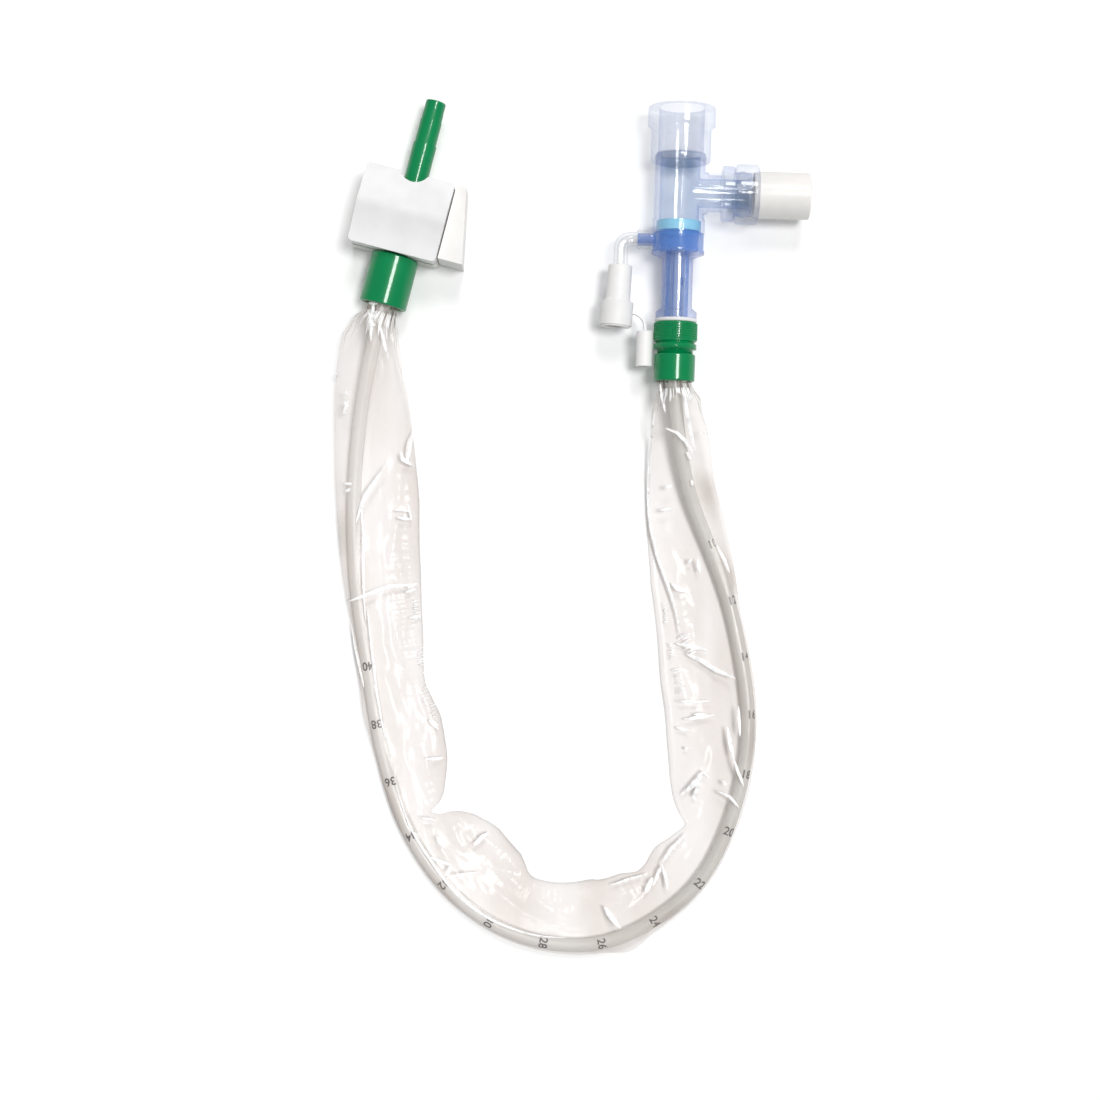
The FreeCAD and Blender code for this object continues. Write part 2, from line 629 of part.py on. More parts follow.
def front_nut():
    chamber_end = f"{NUT_START} + wiper_length + seat_gap"
    return on_axis(turned("front_nut", [
        (NUT_START, "wiper_radius + seat_gap"),
        (NUT_START, "nut_radius", "collar_round"),
        (NUT_GRIP_END, "nut_radius"),
        (NUT_GRIP_END, "nut_notch_radius"),
        (NUT_RING_START, "nut_notch_radius"),
        (NUT_RING_START, "nut_radius"),
        (NUT_RING_END, "nut_radius"),
        (NUT_RING_END, "nut_neck_radius"),
        (f"{COLLAR_START} - seat_gap", "nut_neck_radius"),
        (f"{COLLAR_START} - seat_gap", "grip_spigot_radius"),
        (COLLAR_END, "grip_spigot_radius", "collar_round"),
        (COLLAR_END, "nut_bore"),
        (chamber_end, "nut_bore"),
        (chamber_end, "wiper_radius + seat_gap"),
    ]))


def front_seal():
    return on_axis(turned("front_seal", [
        (NUT_START, "tube_radius + wiper_gap + seal_web"),
        (NUT_START, "wiper_radius"),
        (f"{NUT_START} + wiper_length", "wiper_radius"),
        (f"{NUT_START} + wiper_length", "tube_radius + wiper_gap"),
        (f"{NUT_START} + wiper_length - seal_web", "tube_radius + wiper_gap"),
        (f"{NUT_START} + wiper_length / 2", "tube_radius + wiper_gap + seal_web"),
        (f"{NUT_START} + seal_web", "tube_radius + wiper_gap"),
    ]))


def collar(label, start, end, radius):
    return turned(label, [
        (start, "grip_spigot_radius + seat_gap"),
        (start, radius, "collar_round"),
        (end, radius, "collar_round"),
        (end, "collar_bore"),
        (f"{start} + collar_seat", "collar_bore"),
        (f"{start} + collar_seat", "grip_spigot_radius + seat_gap"),
    ])


def front_collar():
    return on_axis(collar("front_collar", COLLAR_START, COLLAR_END, "collar_radius"))


def rear_collar():
    return on_valve_axis(collar("rear_collar", "rear_collar_start", REAR_COLLAR_END, "rear_collar_radius"))


def on_valve_axis(thing):
    """Places a piece that is turned round the valve's axis."""
    on_valve(thing)
    thing.setExpression("Placement.Base.z", cells("valve_height - rim_radius"))
    return thing


# Irrigation line


def irrigation_elbow():
    """Along the nipple, round a bend and down into the port; X runs outwards, Y down the port."""
    socket_start = "cap_radius + cap_flange + seat_gap"
    grooves = []
    for index in range(4):
        edge = f"{socket_start} + elbow_ring_pitch * {index}"
        grooves += [
            (edge, "elbow_socket_radius"),
            (f"{edge} + elbow_ring_pitch * 0.6", "elbow_socket_radius"),
            (f"{edge} + elbow_ring_pitch * 0.6", "elbow_socket_radius - elbow_ring_depth"),
            (f"{edge} + elbow_ring_pitch", "elbow_socket_radius - elbow_ring_depth"),
        ]
    socket = turned("elbow_socket", [(socket_start, 0)] + grooves + [(f"{socket_start} + elbow_ring_pitch * 4", 0)])
    socket_hole = rod("elbow_socket_bore", "cap_radius", "nipple_reach + seat_gap", "nipple_radius + seat_gap")
    line = rod("elbow_line", f"{socket_start} + elbow_ring_pitch", "elbow_corner - elbow_bend", "elbow_radius")
    line_hole = rod("elbow_line_bore", "cap_radius", "elbow_corner - elbow_bend", "elbow_lumen")
    bends = []
    for label, radius in (("elbow_bend", "elbow_radius"), ("elbow_bend_bore", "elbow_lumen")):
        bend = doc.addObject("Part::Torus", label)
        bend.Angle3 = 90
        bend.setExpression("Radius1", cells("elbow_bend"))
        bend.setExpression("Radius2", cells(radius))
        bend.Placement = Placement(Vector(), Rotation(Vector(0, 0, -1), 90))
        set_place(bend, x="elbow_corner - elbow_bend", y="elbow_bend")
        bends.append(bend)
    down = rod("elbow_down", "elbow_bend", "elbow_drop + elbow_stub", "elbow_radius")
    down_hole = rod("elbow_down_bore", "elbow_bend", "elbow_drop + elbow_stub + 1", "elbow_lumen")
    for piece in (down, down_hole):
        piece.Placement = Placement(Vector(), Rotation(Vector(0, 0, 1), 90))
        set_place(piece, x="elbow_corner")
    outside = fused("elbow_outside", [socket, line, bends[0], down])
    inside = fused("elbow_inside", [socket_hole, line_hole, bends[1], down_hole])
    elbow = cut("irrigation_elbow", outside, inside)
    elbow.Placement = Placement(Vector(), Rotation(Vector(0, 0, 1), 180))
    return node(set_place(elbow, y="-nipple_offset"))


def on_inlet(thing):
    """Lays a piece along the port: its own X runs from the port's top edge to its open end."""
    thing.Placement = Placement(Vector(), Rotation(Vector(0, 0, -1), 90 + amount("inlet_lean")))
    thing.setExpression("Placement.Rotation.Angle", cells("90 + inlet_lean"))
    set_place(thing, x="-elbow_corner", y="-nipple_offset - elbow_drop")
    return node(thing)


def irrigation_port():
    shape = turned("irrigation_port_shape", [
        (0, "elbow_radius + seat_gap"),
        (0, "inlet_top_radius", "edge_round"),
        ("inlet_length * 0.55", "inlet_top_radius + 0.25"),
        ("inlet_length * 0.58", "inlet_top_radius + 0.55"),
        ("inlet_length", "inlet_mouth_radius"),
        ("inlet_length", "inlet_bore + edge_round"),
        ("inlet_length - edge_round", "inlet_bore"),
        ("inlet_length - inlet_depth", "inlet_bore"),
        ("inlet_length - inlet_depth", "duckbill_radius + seat_gap"),
        ("elbow_stub + seal_web", "duckbill_radius + seat_gap"),
        ("elbow_stub + seal_web", "elbow_radius + 0.35"),
    ])
    shape.Label = "irrigation_port"
    return on_inlet(shape)


def irrigation_valve():
    """A duckbill: a flange and a tapering beak, slit across its end."""
    start = "inlet_length - inlet_depth"
    beak = turned("duckbill_beak", [
        (f"{start} - duckbill_length", 0),
        (f"{start} - duckbill_length", 0.6),
        (f"{start} - seal_web", "duckbill_radius - seal_web / 2"),
        (f"{start} - seal_web", "duckbill_radius"),
        (start, "duckbill_radius"),
        (start, "duckbill_radius - seal_web"),
        (f"{start} - duckbill_length + seal_web", 0.2),
        (f"{start} - duckbill_length + seal_web", 0),
    ])
    slit = prism(
        "duckbill_slit",
        rectangle(f"{start} - duckbill_length - 1", f"{start} - duckbill_length + 1", "-0.05", "0.05"),
        "-1",
        "1",
    )
    return on_inlet(cut("irrigation_valve", beak, slit))


def irrigation_cap():
    """Ring round the port, strap and hollow plug, moulded as one; in the row's own directions."""
    ring_x = "-elbow_corner - strap_ring_place * sin(inlet_lean)"
    ring_y = "-nipple_offset - elbow_drop - strap_ring_place * cos(inlet_lean)"
    ring_hole = "inlet_mouth_radius + seat_gap"
    plug_x = "-nut_radius - plug_clearance - plug_radius"
    ring = turned("strap_ring", [
        ("-strap_ring_width / 2", ring_hole),
        ("-strap_ring_width / 2", f"{ring_hole} + strap_ring_wall"),
        ("strap_ring_width / 2", f"{ring_hole} + strap_ring_wall"),
        ("strap_ring_width / 2", ring_hole),
    ])
    ring.Placement = Placement(Vector(), Rotation(Vector(0, 0, -1), 90 + amount("inlet_lean")))
    ring.setExpression("Placement.Rotation.Angle", cells("90 + inlet_lean"))
    set_place(ring, x=ring_x, y=ring_y)
    bend_x = f"{ring_x} + {ring_hole} + seat_gap"
    strap_bend = f"({plug_x} - ({bend_x}))"
    bend_y = f"{ring_y} - {strap_bend} + strap_thickness / 2"
    bend = doc.addObject("PartDesign::Body", "strap_bend_body")
    section = outline(bend, "strap_section", "XZ_Plane", rectangle(
        f"{strap_bend} - strap_thickness / 2", f"{strap_bend} + strap_thickness / 2",
        "-strap_width / 2", "strap_width / 2"))
    turn = bend.newObject("PartDesign::Revolution", "strap_turn")
    turn.Profile = section
    turn.ReferenceAxis = (section, ["V_Axis"])
    turn.Angle = 90
    set_place(bend, x=bend_x, y=bend_y)
    drop = prism("strap_drop_form", rectangle(
        f"{plug_x} - strap_thickness / 2", f"{plug_x} + strap_thickness / 2",
        f"{bend_y} - strap_drop", bend_y), "-strap_width / 2", "strap_width / 2")
    plug = turned("plug_solid", [
        (0, 0),
        (0, "plug_radius", "edge_round"),
        ("plug_length", "plug_radius", "edge_round"),
        ("plug_length", "plug_bore"),
        ("plug_bore", "plug_bore"),
        ("plug_bore", 0),
    ])
    plug.Placement = Placement(Vector(), Rotation(Vector(0, 0, -1), 90))
    set_place(plug, x=plug_x, y=f"{bend_y} - strap_drop + strap_thickness / 2")
    return node(fused("irrigation_cap", [ring, bend, drop, plug]))


# Valve


def valve_body():
    barrel = turned("valve_barrel", [
        (0, 0),
        (0, "tip_radius", "edge_round"),
        (STEP_TWO, "tip_radius"),
        (STEP_TWO, "step_two_radius"),
        (STEP_THREE, "step_two_radius"),
        (STEP_THREE, "step_three_radius"),
        (SHANK_START, "step_three_radius"),
        (SHANK_START, "shank_radius"),
        (HUB_START, "shank_radius"),
        (HUB_START, "hub_radius"),
        ("rear_collar_start - seat_gap", "hub_radius"),
        ("rear_collar_start - seat_gap", "grip_spigot_radius"),
        ("hub_reach", "grip_spigot_radius", "collar_round"),
        ("hub_reach", 0),
    ])
    way = turned("valve_way", [
        (-1, 0),
        (-1, "suction_bore"),
        ("hub_socket_start", "suction_bore"),
        ("hub_socket_start", "tube_radius + socket_gap"),
        ("flare_start", "tube_radius + socket_gap"),
        ("hub_reach", "flare_radius"),
        ("hub_reach + 1", "flare_radius"),
        ("hub_reach + 1", 0),
    ])
    for level in (barrel, way):
        set_place(level, z="valve_height")
    drum = turned("valve_drum", [
        (0, "drum_base"),
        ("drum_radius", "drum_base"),
        ("drum_radius", DRUM_TOP),
        ("chimney_radius", DRUM_TOP),
        ("chimney_radius", CHIMNEY_TOP),
        (0, CHIMNEY_TOP),
    ], upright=True)
    seal_groove = f"{BORE_RADIUS} + ring_section * 2"
    well = turned("valve_well", [
        (0, "valve_height - bore_floor"),
        (BORE_RADIUS, "valve_height - bore_floor"),
        (BORE_RADIUS, f"{CHIMNEY_TOP} - ring_section * 3"),
        (seal_groove, f"{CHIMNEY_TOP} - ring_section * 3"),
        (seal_groove, f"{CHIMNEY_TOP} - ring_section"),
        (BORE_RADIUS, f"{CHIMNEY_TOP} - ring_section"),
        (BORE_RADIUS, f"{CHIMNEY_TOP} + 1"),
        (0, f"{CHIMNEY_TOP} + 1"),
    ], upright=True)
    for upright in (drum, well):
        set_place(upright, x=PLUNGER_PLACE)
    outside = fused("valve_body_outside", [barrel, drum])
    inside = fused("valve_body_inside", [way, well])
    return on_valve(cut("valve_body", outside, inside))


def valve_plunger():
    foot = "valve_height - plunger_drop"
    stem = turned("plunger_stem", [
        (0, foot),
        ("plunger_radius", foot),
        ("plunger_radius", "boss_foot"),
        ("stud_radius", "boss_foot"),
        ("stud_radius", "boss_foot + stud_length"),
        (0, "boss_foot + stud_length"),
    ], upright=True)
    cross = rod("plunger_cross_hole", "-drum_radius", "drum_radius", "suction_bore")
    set_place(cross, z="valve_height + button_travel")
    return on_valve(cut("valve_plunger", stem, cross), x=PLUNGER_PLACE)


def plunger_seal():
    ring = doc.addObject("Part::Torus", "plunger_seal")
    ring.setExpression("Radius1", cells(f"{BORE_RADIUS} + ring_section"))
    ring.setExpression("Radius2", cells("ring_section - plunger_gap"))
    on_valve(ring, x=PLUNGER_PLACE)
    ring.setExpression("Placement.Base.z", cells(f"{CHIMNEY_TOP} - ring_section * 2 - rim_radius"))
    return ring


def return_bellows():
    """Two seats and three folds, turned round the plunger."""
    top = "bellows_top"
    rise = f"({top} - {DRUM_TOP} - bellows_seat * 2) / 4"
    outer = []
    inner = []
    for fold in range(5):
        height = f"{DRUM_TOP} + bellows_seat + {rise} * {fold}"
        radius = "bellows_inner" if fold % 2 else "bellows_outer"
        outer.append((radius, height))
        inner.append((f"{radius} - bellows_wall", height))
    points = [("bellows_inner - bellows_wall", DRUM_TOP), ("bellows_outer", DRUM_TOP)]
    points += outer
    points += [("bellows_outer", top), ("bellows_inner - bellows_wall", top)]
    points += [("bellows_inner - bellows_wall", f"{top} - bellows_seat")]
    points += inner[::-1]
    points += [("bellows_inner - bellows_wall", f"{DRUM_TOP} + bellows_seat")]
    return on_valve(turned("return_bellows", points, upright=True), x=PLUNGER_PLACE)


# The button's top as seen from the side: share of its length from the front, and share of its rise
BUTTON_RISE = [
    (0.0, 0.0),
    (0.28, 0.62),
    (0.38, 0.82),
    (0.43, 0.94),
    (0.47, 1.0),
    (0.51, 0.97),
    (0.55, 0.87),
    (0.6, 0.7),
    (0.66, 0.52),
    (0.73, 0.35),
    (0.8, 0.21),
    (0.88, 0.1),
    (1.0, 0.0),
]


def button_side(inset):
    """The button's side outline: a front slope, a crest and a dished rear slope, as seen from the side."""
    start = f"(button_start + {inset})"
    end = f"({BUTTON_END} - {inset})"
    low = "button_skirt" if inset == "0" else "button_skirt - 1"
    shoulder = f"button_top - button_fall - {inset}"
    top = [
        (f"{start} + ({end} - {start}) * {share}", f"{shoulder} + button_fall * {rise}")
        for share, rise in reversed(BUTTON_RISE)
    ]
    return [(start, low), (end, low)] + top


def button_plan(inset, rounding):
    """The button's plan, as far inside its outer walls as the inset says."""
    side = f"(button_width / 2 - {inset})"
    return rectangle(
        f"button_start + {inset}",
        f"{BUTTON_END} - {inset}",
        f"button_shift - {side}",
        f"button_shift + {side}",
        rounding,
    )


def thumb_button():
    outside = common("button_outside", [
        side_prism("button_side", button_side("0"), "button_width * 2"),
        prism("button_plan", button_plan("0", "button_corner"), "button_skirt", "button_top"),
    ])
    hollow = common("button_hollow", [
        side_prism("button_hollow_side", button_side("button_wall"), "button_width * 2"),
        prism("button_hollow_plan", button_plan("button_wall", "(button_corner - button_wall / 2)"), "button_skirt - 1", BUTTON_ROOF),
    ])
    saddle = rod("button_saddle", "button_skirt - 1", "button_top + 1", "saddle_radius", upright=True)
    set_place(saddle, x="button_start - saddle_radius + saddle_depth")
    arch_top = "valve_height + button_travel + button_gap"
    front_arch = rod("button_front_arch", "button_start - 1", "button_start + button_wall + 1",
                     "shank_radius + button_gap")
    rear_arch = rod("button_rear_arch", f"{BUTTON_END} - button_wall - 1", f"{BUTTON_END} + 1",
                    "hub_radius + button_gap")
    for arch in (front_arch, rear_arch):
        set_place(arch, z=arch_top)
    shell = cut("button_shell", outside, fused("button_cuts", [hollow, saddle, front_arch, rear_arch]))
    boss = turned("button_boss", [
        ("stud_radius + seat_gap", "boss_foot"),
        ("boss_radius", "boss_foot"),
        ("boss_radius", "button_top"),
        (0, "button_top"),
        (0, "boss_foot + stud_length + seat_gap"),
        ("stud_radius + seat_gap", "boss_foot + stud_length + seat_gap"),
    ], upright=True)
    set_place(boss, x=PLUNGER_PLACE)
    plate = turned("button_plate", [
        ("stud_radius + seat_gap", "bellows_top"),
        ("bellows_outer + button_gap", "bellows_top"),
        ("bellows_outer + button_gap", "button_top"),
        ("stud_radius + seat_gap", "button_top"),
    ], upright=True)
    set_place(plate, x=PLUNGER_PLACE)
    middle = common("button_middle", [fused("button_posts", [boss, plate]), outside])
    return on_valve(fused("thumb_button", [shell, middle]))


def valve_base():
    left = "button_shift - button_width / 2"
    right = "button_shift + button_width / 2"
    plinth = prism("base_plinth", rectangle(
        "button_start", BUTTON_END, left, right, "button_corner"), "0", "plinth_height")
    rail_inset = "(button_wall + button_gap)"
    rails = prism("base_rails", button_plan(rail_inset, "(button_corner - button_wall / 2)"), "base_floor / 2", "rail_height")
    hollow_inset = "(button_wall + button_gap + base_wall)"
    hollow = prism("base_hollow", button_plan(hollow_inset, "button_gap"), "base_floor", "rail_height + 1")
    wing = prism("base_wing", [
        ("button_start", f"{right} + wing_gap"),
        ("button_start", f"{right} + wing_front"),
        (f"{BUTTON_END} - wing_setback", f"{right} + wing_rear"),
        (f"{BUTTON_END} - wing_setback", f"{right} + wing_gap"),
    ], "0", "wing_height")
    web = prism("base_web", rectangle(
        "button_start + button_corner", f"{BUTTON_END} - wing_setback * 2",
        f"{right} - base_wall", f"{right} + wing_gap * 2"), "0", "plinth_height - base_wall")
    seats = []
    for label, radius, start, end in (
        ("base_front_seat", "shank_radius", "button_start - 1", PLUNGER_PLACE),
        ("base_rear_seat", "hub_radius", PLUNGER_PLACE, f"{BUTTON_END} + 1"),
    ):
        saddle = rod(label, start, end, f"{radius} + seat_gap")
        set_place(saddle, z="valve_height")
        slot = prism(f"{label}_slot", rectangle(
            start, end, f"-{radius} - seat_gap", f"{radius} + seat_gap"), "valve_height", "rail_height + 1")
        seats += [saddle, slot]
    whole = fused("base_whole", [plinth, rails, wing, web])
    room = fused("base_room", [hollow] + seats)
    return on_valve(cut("valve_base", whole, room))


# Catheter

# Route of the catheter's centreline: across, along, and height over the surface.
ROUTE = [
    (0.0, -46.8, 11.1),
    (0.0, -59.8, 11.25),
    (0.0, -75.8, 11.3),
    (0.2, -93.8, 11.1),
    (2.4, -111.8, 8.6),
    (7.2, -129.3, 5.0),
    (15.0, -145.8, 3.2),
    (22.9, -163.8, 2.9),
    (27.8, -183.6, 2.8),
    (31.0, -203.4, 2.8),
    (29.8, -223.2, 2.8),
    (24.3, -242.4, 2.8),
    (14.8, -260.4, 2.8),
    (0.4, -273.6, 2.8),
    (-17.6, -282.8, 2.8),
    (-37.9, -283.4, 2.8),
    (-56.9, -276.8, 2.8),
    (-72.1, -264.1, 2.8),
    (-84.0, -247.8, 2.8),
    (-91.8, -229.2, 2.8),
    (-96.6, -209.8, 2.8),
    (-100.0, -190.1, 2.8),
    (-104.4, -167.8, 2.8),
    (-106.9, -144.8, 3.0),
    (-106.7, -120.8, 4.2),
    (-104.1, -94.8, 7.0),
    (-98.63, -69.1, 9.0),
    (-93.38, -46.36, 9.0),
]

FLOOR = -amount("rim_radius")
ARC_SHARE = 0.45


def route_points():
    return [Vector(x, y, FLOOR + height) for x, y, height in ROUTE]


def catheter_line():
    """Straight runs joined by tangent arcs, each arc as large as its two runs allow."""
    points = route_points()
    edges = []
    radii = []
    last = points[0]
    for before, corner, after in zip(points, points[1:], points[2:]):
        run_in, run_out = corner - before, after - corner
        turn = run_in.getAngle(run_out)
        reach = ARC_SHARE * min(run_in.Length, run_out.Length)
        radii.append(reach / math.tan(turn / 2))
        start = corner - run_in.normalize() * reach
        end = corner + run_out.normalize() * reach
        bisector = (run_out - run_in).normalize()
        depth = radii[-1] / math.cos(turn / 2) - radii[-1]
        edges.append(Part.LineSegment(last, start).toShape())
        edges.append(Part.Arc(start, corner + bisector * depth, end).toShape())
        last = end
    edges.append(Part.LineSegment(last, points[-1]).toShape())
    return Part.Wire(edges), radii


def catheter_tube():
    line, radii = catheter_line()
    print("catheter length", round(line.Length, 1), "bend radii", [round(radius) for radius in radii])
    start = route_points()[0]
    direction = (route_points()[1] - start).normalize()

    def swept(radius):
        ring = Part.Wire([Part.makeCircle(radius, start, direction)])
        return line.makePipeShell([ring], True, False)

    outer = swept(amount("tube_radius"))
    expected = math.pi * amount("tube_radius") ** 2 * line.Length
    print("tube volume against section times length", round(outer.Volume / expected, 4))
    tube = outer.cut(swept(amount("tube_lumen")))
    for index in (0, 1):
        along = amount("eye_setback") + index * amount("eye_pitch")
        side = Vector(-1, 0, 0) if index else Vector(1, 0, 0)
        tube = tube.cut(Part.makeCylinder(amount("eye_radius"), amount("tube_radius") + 1,
                                          start + direction * along, side))
    thing = doc.addObject("Part::Feature", "catheter_tube")
    thing.Shape = tube
    return node(thing)


# Sleeve

# Form of the film at places of the route, counted in its points: reach to the outside of the U and to
# the inside, height of the underside, rise of the film over the catheter, rise of its inner half,
# how far it has gone from a round gather (0) to a flat tube (1), and depth of its pleats.
FILM = [
    (3.02, 5.6, 5.6, 5.7, 11.2, 11.2, 0.0, 0.06),
    (3.35, 7.0, 6.6, 4.9, 11.8, 10.5, 0.1, 0.12),
    (3.7, 9.3, 8.2, 3.9, 11.6, 9.5, 0.3, 0.12),
    (4.1, 10.8, 10.0, 2.7, 10.6, 8.0, 0.6, 0.08),
    (5.0, 9.9, 15.4, 0.6, 8.0, 5.5, 0.9, 0.03),
    (6.0, 5.6, 22.4, 0.0, 6.4, 4.0, 1.0, 0.0),
    (7.0, 3.3, 26.6, 0.0, 6.2, 3.4, 1.0, 0.0),
    (8.0, 3.25, 28.2, 0.0, 6.2, 3.2, 1.0, 0.0),
    (9.0, 3.25, 28.4, 0.0, 6.2, 3.2, 1.0, 0.0),
    (10.0, 3.25, 26.8, 0.0, 6.2, 3.4, 1.0, 0.0),
    (10.7, 3.25, 23.0, 0.0, 6.2, 4.0, 1.0, 0.0),
    (11.0, 3.3, 20.0, 0.0, 6.2, 4.5, 1.0, 0.0),
    (12.0, 3.3, 18.3, 0.0, 6.2, 4.8, 1.0, 0.0),
    (13.0, 3.3, 18.0, 0.0, 6.2, 4.6, 1.0, 0.0),
    (14.0, 3.4, 21.7, 0.0, 6.2, 4.2, 1.0, 0.0),
    (15.0, 3.3, 20.8, 0.0, 6.2, 4.0, 1.0, 0.0),
    (16.0, 3.25, 23.8, 0.0, 6.2, 3.8, 1.0, 0.0),
    (17.0, 3.25, 25.7, 0.0, 6.2, 3.6, 1.0, 0.0),
    (17.6, 3.25, 24.0, 0.0, 6.2, 4.2, 1.0, 0.0),
    (18.0, 3.25, 16.7, 0.0, 6.2, 5.0, 1.0, 0.0),
    (18.4, 3.25, 19.0, 0.0, 6.2, 4.4, 1.0, 0.0),
    (19.0, 3.3, 19.6, 0.0, 6.2, 3.8, 1.0, 0.0),
    (20.0, 4.1, 20.5, 0.0, 6.2, 3.6, 1.0, 0.0),
    (21.0, 4.4, 18.5, 0.0, 6.2, 3.8, 1.0, 0.0),
    (22.0, 4.0, 21.3, 0.0, 6.3, 3.6, 1.0, 0.0),
    (23.0, 5.2, 22.5, 0.0, 6.5, 4.2, 1.0, 0.0),
    (24.0, 6.6, 20.8, 0.4, 7.6, 5.4, 0.85, 0.02),
    (24.7, 8.4, 16.6, 1.2, 9.4, 7.2, 0.6, 0.05),
    (25.2, 8.6, 11.4, 2.2, 10.8, 9.4, 0.3, 0.10),
    (25.6, 6.8, 7.4, 3.0, 11.6, 11.0, 0.05, 0.12),
    (25.86, 5.6, 5.6, 3.4, 11.2, 11.2, 0.0, 0.04),
]

CORNERS = 26
OUTER_CORNERS = 7
INNER_TOP = 9
STATIONS_PER_RUN = 3
FOLD_HEIGHT = 0.9
WRINKLE = 0.7


def film_form(place):
    """The film's form at a place of the route, between two rows of FILM."""
    for low, high in zip(FILM, FILM[1:]):
        if place <= high[0]:
            share = max(0.0, (place - low[0]) / (high[0] - low[0]))
            return [a + (b - a) * share for a, b in zip(low[1:], high[1:])]
    return list(FILM[-1][1:])


def film_corner(index, form, ripple):
    """A corner of the film's section: how far to the outside of the U, and how high."""
    outer, inner, lift, crown, puff, flat, pleat = form
    angle = 2 * math.pi * (index - 3.25) / CORNERS
    depth = 1 + pleat * (1 if index % 2 else -1)
    round_across = (outer - inner) / 2 + (outer + inner) / 2 * math.cos(angle) * depth
    round_up = lift + crown / 2 + crown / 2 * math.sin(angle) * depth
    if index < OUTER_CORNERS:
        turn = math.pi * (index / (OUTER_CORNERS - 1) - 0.5)
        across = outer * math.cos(turn)
        up = lift + crown / 2 * (1 + math.sin(turn))
    elif index < OUTER_CORNERS + INNER_TOP:
        share = (index - OUTER_CORNERS + 1) / INNER_TOP
        across = -inner * (0.06 + 0.90 * share)
        slope = 0.5 + 0.5 * math.cos(math.pi * min(1.0, share * 2.2))
        body = puff * math.sqrt(max(0.0, 1 - share ** 3)) + FOLD_HEIGHT * share ** 3
        up = lift + crown * slope + body * (1 - slope) + ripple * math.sin(math.pi * share)
        up += 0.25 * (1 if index % 2 else -1) * math.sin(math.pi * share)
    elif index == OUTER_CORNERS + INNER_TOP:
        across, up = -inner, lift + FOLD_HEIGHT / 2
    else:
        share = (CORNERS - index) / (CORNERS - OUTER_CORNERS - INNER_TOP)
        across, up = -inner * 0.96 * share, lift
    return (
        round_across + (across - round_across) * flat,
        round_up + (up - round_up) * flat,
    )


def inset(corners, wall):
    """The same section, one wall further in."""
    result = []
    count = len(corners)
    for index, (across, up) in enumerate(corners):
        before = corners[index - 1]
        after = corners[(index + 1) % count]
        first = (across - before[0], up - before[1])
        second = (after[0] - across, after[1] - up)
        first = [value / math.hypot(*first) for value in first]
        second = [value / math.hypot(*second) for value in second]
        normal = (-(first[1] + second[1]), first[0] + second[0])
        size = math.hypot(*normal)
        reach = wall * min(2.0, 2 / size)
        result.append((across + normal[0] / size * reach, up + normal[1] / size * reach))
    return result


def film_wires(centre, travel, corners):
    """The section's outer and inner wires, across the direction of travel."""
    outward = Vector(-travel.y, travel.x, 0).normalize()
    wires = []
    for outline_points in (corners, inset(corners, amount("film_wall"))):
        places = [centre + outward * across + Vector(0, 0, up) for across, up in outline_points]
        wires.append(Part.makePolygon(places + places[:1]))
    return wires


def gripped(centre, travel):
    """A section inside a collar: a tight round gather."""
    radius = amount("film_grip_radius")
    form = (radius, radius, -radius, 2 * radius, 0, 0.0, 0.03)
    return film_wires(centre, travel, [film_corner(index, form, 0) for index in range(CORNERS)])


def sleeve():
    points = route_points()
    count = len(points)
    knots = list(range(count - 1))
    spine = Part.BSplineCurve()
    spine.buildFromPolesMultsKnots(points, [3] + [1] * (count - 3) + [3], knots, False, 2)
    down = Vector(0, -1, 0)
    valve_angle = math.radians(amount("valve_turn"))
    valve_line = Vector(math.cos(valve_angle), -math.sin(valve_angle), 0)
    valve_tip = Vector(amount("valve_across"), amount("valve_along"), FLOOR + amount("valve_height"))
    front_end = amount(COLLAR_END)
    rear_end = amount(REAR_COLLAR_END)
    grip = amount("film_grip_length")
    sections = [gripped(down * (front_end - grip), down), gripped(down * front_end, down)]
    steps = int((FILM[-1][0] - FILM[0][0]) * STATIONS_PER_RUN)
    for step in range(steps + 1):
        place = FILM[0][0] + (FILM[-1][0] - FILM[0][0]) * step / steps
        parameter = place - 0.5
        centre = spine.value(parameter)
        travel = spine.tangent(parameter)[0]
        form = film_form(place)
        ripple = WRINKLE * (1 if step % 2 else -1) * (0.5 + 0.5 * math.sin(step * 1.7))
        form[1] += 0.6 * ripple * form[5]
        flat_centre = Vector(centre.x, centre.y, FLOOR)
        corners = [film_corner(index, form, ripple) for index in range(CORNERS)]
        sections.append(film_wires(flat_centre, travel, corners))
    sections.append(gripped(valve_tip + valve_line * rear_end, valve_line * -1))
    sections.append(gripped(valve_tip + valve_line * (rear_end - grip), valve_line * -1))
    outer = Part.makeLoft([section[0] for section in sections], True, True)
    inner = Part.makeLoft([section[1] for section in sections], True, True)
    thing = doc.addObject("Part::Feature", "sleeve")
    thing.Shape = outer.cut(inner)
    return node(thing)


# The whole object

patient_swivel()
t_piece()
side_swivel()
circuit_adapter()
seal_ring()
catheter_guide()
seal_washer()
front_nut()
front_seal()
front_collar()
irrigation_elbow()
irrigation_port()
irrigation_valve()
irrigation_cap()
valve_body()
valve_base()
valve_plunger()
plunger_seal()
return_bellows()
thumb_button()
rear_collar()
catheter_tube()
sleeve()
doc.recompute()

for thing in doc.Objects:
    if "Invalid" in thing.State or "Error" in thing.State:
        raise RuntimeError(f"{thing.Label} failed: {thing.State}")

os.makedirs("parts", exist_ok=True)
for thing in nodes:
    shape = thing.Shape
    if shape.isNull() or not shape.isValid() or not shape.Solids:
        raise RuntimeError(f"{thing.Label} has no valid solid")
    shape.exportStep(f"parts/{thing.Label}.step")
    print(thing.Label, len(shape.Solids), "solid", round(shape.Volume, 1), "mm3")
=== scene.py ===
"""Closed suction catheter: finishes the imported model, adds the film sleeve, the tube and its numbers, and the stage."""

import json
import math
import random

import bmesh
import bpy
from mathutils import Euler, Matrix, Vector, noise

